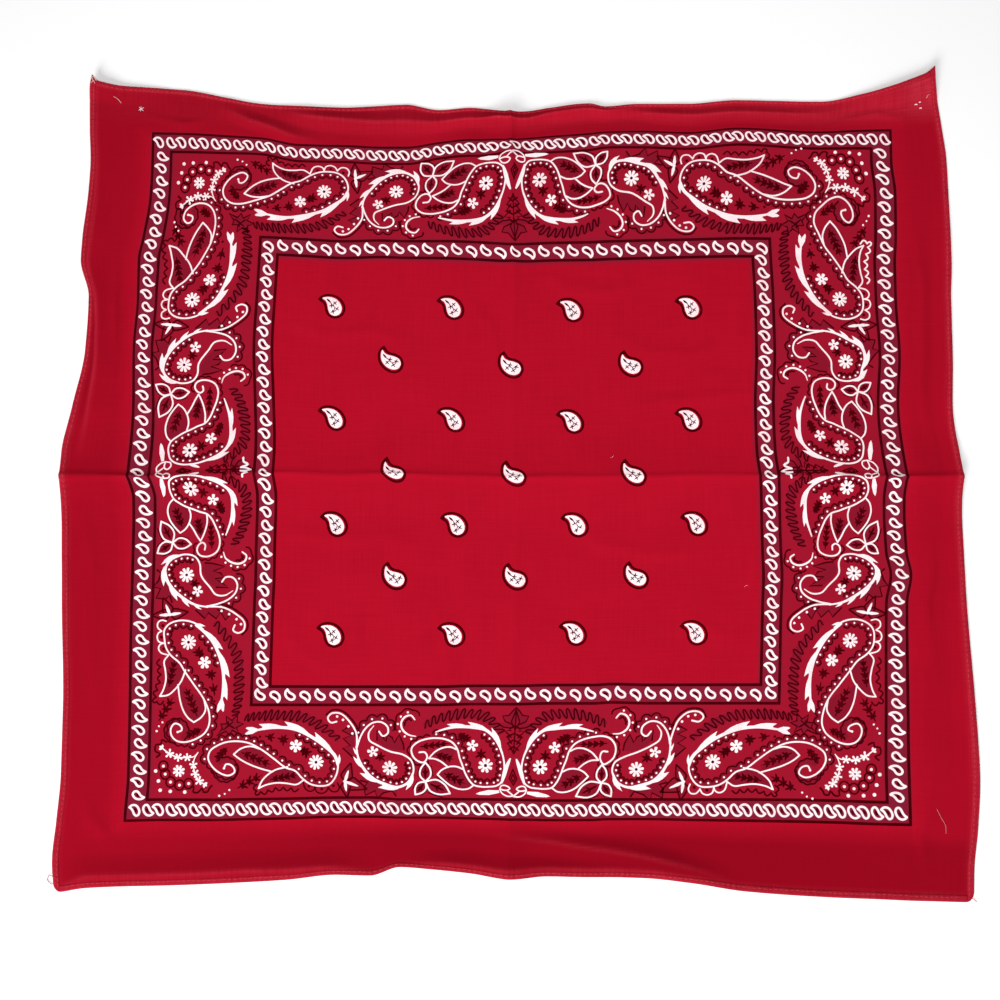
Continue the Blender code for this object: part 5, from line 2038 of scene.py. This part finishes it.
@dataclass
class BandanaPrint:
    """The whole print: two rope frames, the field's drops and the four sides of the border."""

    cloth: LaidCloth
    white: InkFinish = InkFinish("white_ink", (0.93, 0.80, 0.82), (0.72, 0.22, 0.27), 0.60)
    dark: InkFinish = InkFinish("dark_ink", (0.042, 0.0003, 0.0018), (0.17, 0.002, 0.007), 0.55)
    shade: InkFinish = InkFinish("shade_ink", (0.205, 0.0068, 0.0205), (0.270, 0.0058, 0.0190), 0.55)

    def halves(self) -> list[BorderHalf]:
        """The eight half sides of the border, two from each corner."""
        halves = []
        half_across = (FRAME_RIGHT - FRAME_LEFT) / 2.0 / HALF_SIDE
        half_down = (FRAME_TOP - FRAME_BOTTOM) / 2.0 / HALF_SIDE
        for left, top, flower, level_shifts, upright_shifts in (
                (True, True, (34.8, 34.4), (TOP_LEFT_EASE, TOP_LEFT_NUDGES), (LEFT_TOP_EASE, LEFT_TOP_NUDGES)),
                (False, True, (33.3, 30.1), (TOP_RIGHT_EASE, TOP_RIGHT_NUDGES),
                 (RIGHT_TOP_EASE, RIGHT_TOP_NUDGES)),
                (True, False, (33.3, 32.3), (BOTTOM_LEFT_EASE, BOTTOM_LEFT_NUDGES),
                 (LEFT_BOTTOM_EASE, LEFT_BOTTOM_NUDGES)),
                (False, False, (32.8, 30.7), (BOTTOM_RIGHT_EASE, BOTTOM_RIGHT_NUDGES),
                 (RIGHT_BOTTOM_EASE, RIGHT_BOTTOM_NUDGES))):
            along = (1.0 if left else -1.0, 0.0)
            down = (0.0, -1.0 if top else 1.0)
            corner = (FRAME_LEFT if left else FRAME_RIGHT, FRAME_TOP if top else FRAME_BOTTOM)
            depth_level = (FRAME_TOP - FIELD_TOP if top else FIELD_BOTTOM - FRAME_BOTTOM) / BORDER_DEPTH
            depth_upright = (FIELD_LEFT - FRAME_LEFT if left else FRAME_RIGHT - FIELD_RIGHT) / BORDER_DEPTH
            level = Placement(
                corner, along, down, half_across, depth_level, level_shifts[0], False, level_shifts[1])
            upright = Placement(
                corner, down, along, half_down, depth_upright, upright_shifts[0], True, upright_shifts[1])
            halves.append(BorderHalf(level, flower, False, white_loops=top or not left))
            halves.append(BorderHalf(upright, None, True, white_rim=top and not left))
        return halves

    def build(self) -> list[Piece]:
        """Draw the print and build a piece for each ink."""
        sheet = PrintSheet(self.cloth)
        RopeFrame(FRAME_LEFT, FRAME_RIGHT, FRAME_TOP, FRAME_BOTTOM, OUTER_BAND, 66, 51,
                  (1.14, 0.94), (0.84, 1.06), False, 1.75, 3.5, (0, 0, 1, 0)).draw(sheet)
        RopeFrame(FIELD_LEFT, FIELD_RIGHT, FIELD_TOP, FIELD_BOTTOM, INNER_BAND, 35, 34,
                  (0.95, 0.92), (0.92, 0.90), True, 2.5, 1.5, (1, 0, 0, 0)).draw(sheet)
        for v in (107, 35, -31, -99.5):
            for u in (-111, -37, 37, 111):
                FieldDrop(u, v, False).draw(sheet)
        for v in (71, 1, -64):
            for u in (-74, 0, 74):
                FieldDrop(u, v, True).draw(sheet)
        for half in self.halves():
            half.draw(sheet)
        finishes = {Ink.SHADE: self.shade, Ink.DARK: self.dark, Ink.WHITE: self.white, Ink.MARKS: self.dark}
        return [sheet.build(ink, finish) for ink, finish in finishes.items()]


# ---------------------------------------------------------------- loose threads, lint and wear
@dataclass
class Threads:
    """A bundle of loose threads in one colour, each a thin tube along a line of points over the cloth."""

    cloth: LaidCloth
    name: str
    finish: ThreadFinish
    lines: tuple[tuple[float, tuple[tuple[float, float, float], ...]], ...]

    def build(self) -> Piece:
        """Build every thread; a point is u, v and how far it is over the cloth or table."""
        tubes = Tubes()
        for radius, line in self.lines:
            knots = np.array([self.over(*point) for point in line])
            samples = np.linspace(0.0, len(knots) - 1.0, (len(knots) - 1) * 6 + 1)
            path = np.stack([
                smooth_through(np.arange(len(knots), dtype=float), knots[:, axis], samples)
                for axis in range(3)], axis=1)
            rings = []
            for index, centre in enumerate(path):
                ahead = path[min(index + 1, len(path) - 1)] - path[max(index - 1, 0)]
                ahead = ahead / max(float(np.linalg.norm(ahead)), 1e-9)
                sideways = np.cross(ahead, (0.0, 0.0, 1.0))
                sideways = sideways / max(float(np.linalg.norm(sideways)), 1e-9)
                here = radius * (0.45 if index in (0, len(path) - 1) else 1.0)
                rings.append((centre, here, sideways, np.cross(sideways, ahead)))
            tubes.add(rings, 6)
        return tubes.build(self.name, self.finish)

    def over(self, u: float, v: float, above: float) -> Array:
        """A point over the cloth, or over the table where the place is off the cloth, in millimetres."""
        inside_u = min(max(u, -HALF_WIDTH), HALF_WIDTH)
        inside_v = min(max(v, -HALF_HEIGHT), HALF_HEIGHT)
        x, y, lift = self.cloth.lay(np.array([inside_u]), np.array([inside_v]))
        on_cloth = u == inside_u and v == inside_v
        base = lift[0] + self.cloth.thickness if on_cloth else 0.0
        return np.array((x[0] + u - inside_u, y[0] + v - inside_v, base + above))


PALE_THREAD = ThreadFinish("pale_thread", (0.62, 0.30, 0.28), (0.80, 0.62, 0.58))
STITCH_THREAD = ThreadFinish("stitch_thread", (0.44, 0.020, 0.028), (0.54, 0.065, 0.065))
RED_THREAD = ThreadFinish("red_thread", (0.40, 0.010, 0.024), (0.50, 0.05, 0.06))
LINT = ThreadFinish("lint", (0.78, 0.70, 0.70), (0.90, 0.86, 0.86))

PALE_LINES = (
    (0.22, ((-281.5, 259.8, 1.4), (-279.4, 260.8, 1.9), (-277, 259.6, 1.3))),
    (0.24, ((-282.6, 257.6, 1.2), (-281, 259.4, 1.8), (-279.2, 258.4, 1.3))),
    (0.20, ((-280.6, 257, 1.2), (-279.2, 258.6, 1.6), (-277.8, 257.4, 1.2))),
    (0.16, ((-265.2, 250.6, 0.5), (-262, 248.4, 0.9), (-259.8, 245.4, 0.4))),
    (0.15, ((272.6, 243.6, 0.4), (273.8, 245.2, 0.8), (275.6, 245.6, 0.4))),
    (0.07, ((258, -205, 0.2), (261, -211, 0.4), (263.4, -216, 0.3), (263.6, -220, 0.2))),
)
RED_LINES = (
    (0.20, ((-279, -252, 1), (-283.6, -249.6, 0.8), (-285.4, -252.4, 0.4), (-283, -255.4, 0.5),
            (-279.6, -254.4, 1))),
    (0.18, ((279, -258.6, 1), (282.6, -260.4, 0.7), (285.4, -262.6, 0.25))),
)
LINT_LINES = (
    (0.17, ((-247.6, 243.2, 0.25), (-246, 241.4, 0.5), (-244.4, 239.8, 0.25))),
    (0.17, ((-247.8, 240, 0.25), (-246, 241.4, 0.5), (-244, 242.8, 0.25))),
    (0.14, ((-246.2, 244, 0.25), (-246, 241.4, 0.5), (-246.4, 239.2, 0.25))),
    (0.34, ((262.2, 240.2, 0.2), (263.4, 240.4, 0.35), (264.6, 240, 0.2))),
    (0.30, ((266, 241.2, 0.2), (266.8, 241.6, 0.35), (267.6, 241.4, 0.2))),
    (0.32, ((266.2, 236.8, 0.2), (267.2, 237.2, 0.35), (268.2, 236.8, 0.2))),
    (0.06, ((60, 12, 0.12), (61.2, 12.6, 0.2), (62, 13.6, 0.12))),
    (0.06, ((140, -70, 0.12), (141, -69.2, 0.2), (142.2, -69.4, 0.12))),
)


# ---------------------------------------------------------------- the studio
@dataclass
class Studio:
    """A white table, soft light with its key low on the left, and the camera nearly overhead."""

    lens: float = 46.08
    sensor: float = 36.0
    distance: float = 0.799
    tilt_degrees: float = 4.88
    target: tuple[float, float, float] = (-0.0100, -0.01605, 0.0)
    world_strength: float = 0.26
    key_power: float = 52.0
    overhead_power: float = 6.2

    def build(self) -> None:
        """Set up the table, the lights, the sky and the camera."""
        self.table()
        self.area("key", (-0.85, -1.85, 1.35), 1.1, self.key_power)
        self.area("overhead", (0.02, -0.05, 1.0), 0.35, self.overhead_power)
        self.sky()
        self.camera()
        scene = bpy.context.scene
        scene.view_settings.view_transform = "Standard"
        scene.view_settings.look = "None"

    def table(self) -> None:
        """A plain table top just under the cloth."""
        size = 4.0
        points = np.array(((-size, -size, 0.0), (size, -size, 0.0), (size, size, 0.0), (-size, size, 0.0)))
        points[:, 2] = -0.00005
        new_piece("table_top", points, [(0, 1, 2, 3)], FloorFinish().build())

    def area(self, name: str, place: tuple[float, float, float], size: float, power: float) -> None:
        """A soft square light turned to the cloth's middle."""
        data = bpy.data.lights.new(name, "AREA")
        data.shape = "SQUARE"
        data.size = size
        data.energy = power
        lamp = bpy.data.objects.new(name, data)
        lamp.location = place
        lamp.rotation_euler = (-Vector(place)).to_track_quat("-Z", "Y").to_euler()
        bpy.context.scene.collection.objects.link(lamp)

    def sky(self) -> None:
        """An even pale surround."""
        world = bpy.data.worlds.new("surround")
        world.use_nodes = True
        back = world.node_tree.nodes["Background"]
        back.inputs["Color"].default_value = (1.0, 0.995, 0.99, 1.0)
        back.inputs["Strength"].default_value = self.world_strength
        bpy.context.scene.world = world

    def camera(self) -> None:
        """The camera, looking down with a slight tilt."""
        data = bpy.data.cameras.new("camera")
        data.lens = self.lens
        data.sensor_width = self.sensor
        data.clip_end = 20.0
        camera = bpy.data.objects.new("camera", data)
        tilt = math.radians(self.tilt_degrees)
        target = Vector(self.target)
        camera.location = target + self.distance * Vector((0.0, -math.sin(tilt), math.cos(tilt)))
        camera.rotation_euler = (tilt, 0.0, 0.0)
        bpy.context.scene.collection.objects.link(camera)
        bpy.context.scene.camera = camera


def main() -> None:
    logging.basicConfig(level=logging.INFO, format="%(message)s")
    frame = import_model()
    LOG.info("frame: %s", sorted(frame["nodes"]))
    cloth = LaidCloth()
    panel = PanelSheet(cloth).build()
    hem_cotton = CottonFinish("hem_cotton", (0.40, 0.0045, 0.0190), (0.29, 0.0030, 0.0130)).build()
    extras = [RolledHem(cloth, edge, hem_cotton).build() for edge in Edge]
    extras.append(HemStitches(cloth, STITCH_THREAD).build())
    extras.extend(BandanaPrint(cloth).build())
    extras.append(Threads(cloth, "pale_threads", PALE_THREAD, PALE_LINES).build())
    extras.append(Threads(cloth, "red_threads", RED_THREAD, RED_LINES).build())
    extras.append(Threads(cloth, "lint", LINT, LINT_LINES).build())
    Studio().build()


if __name__ == "__main__":
    main()
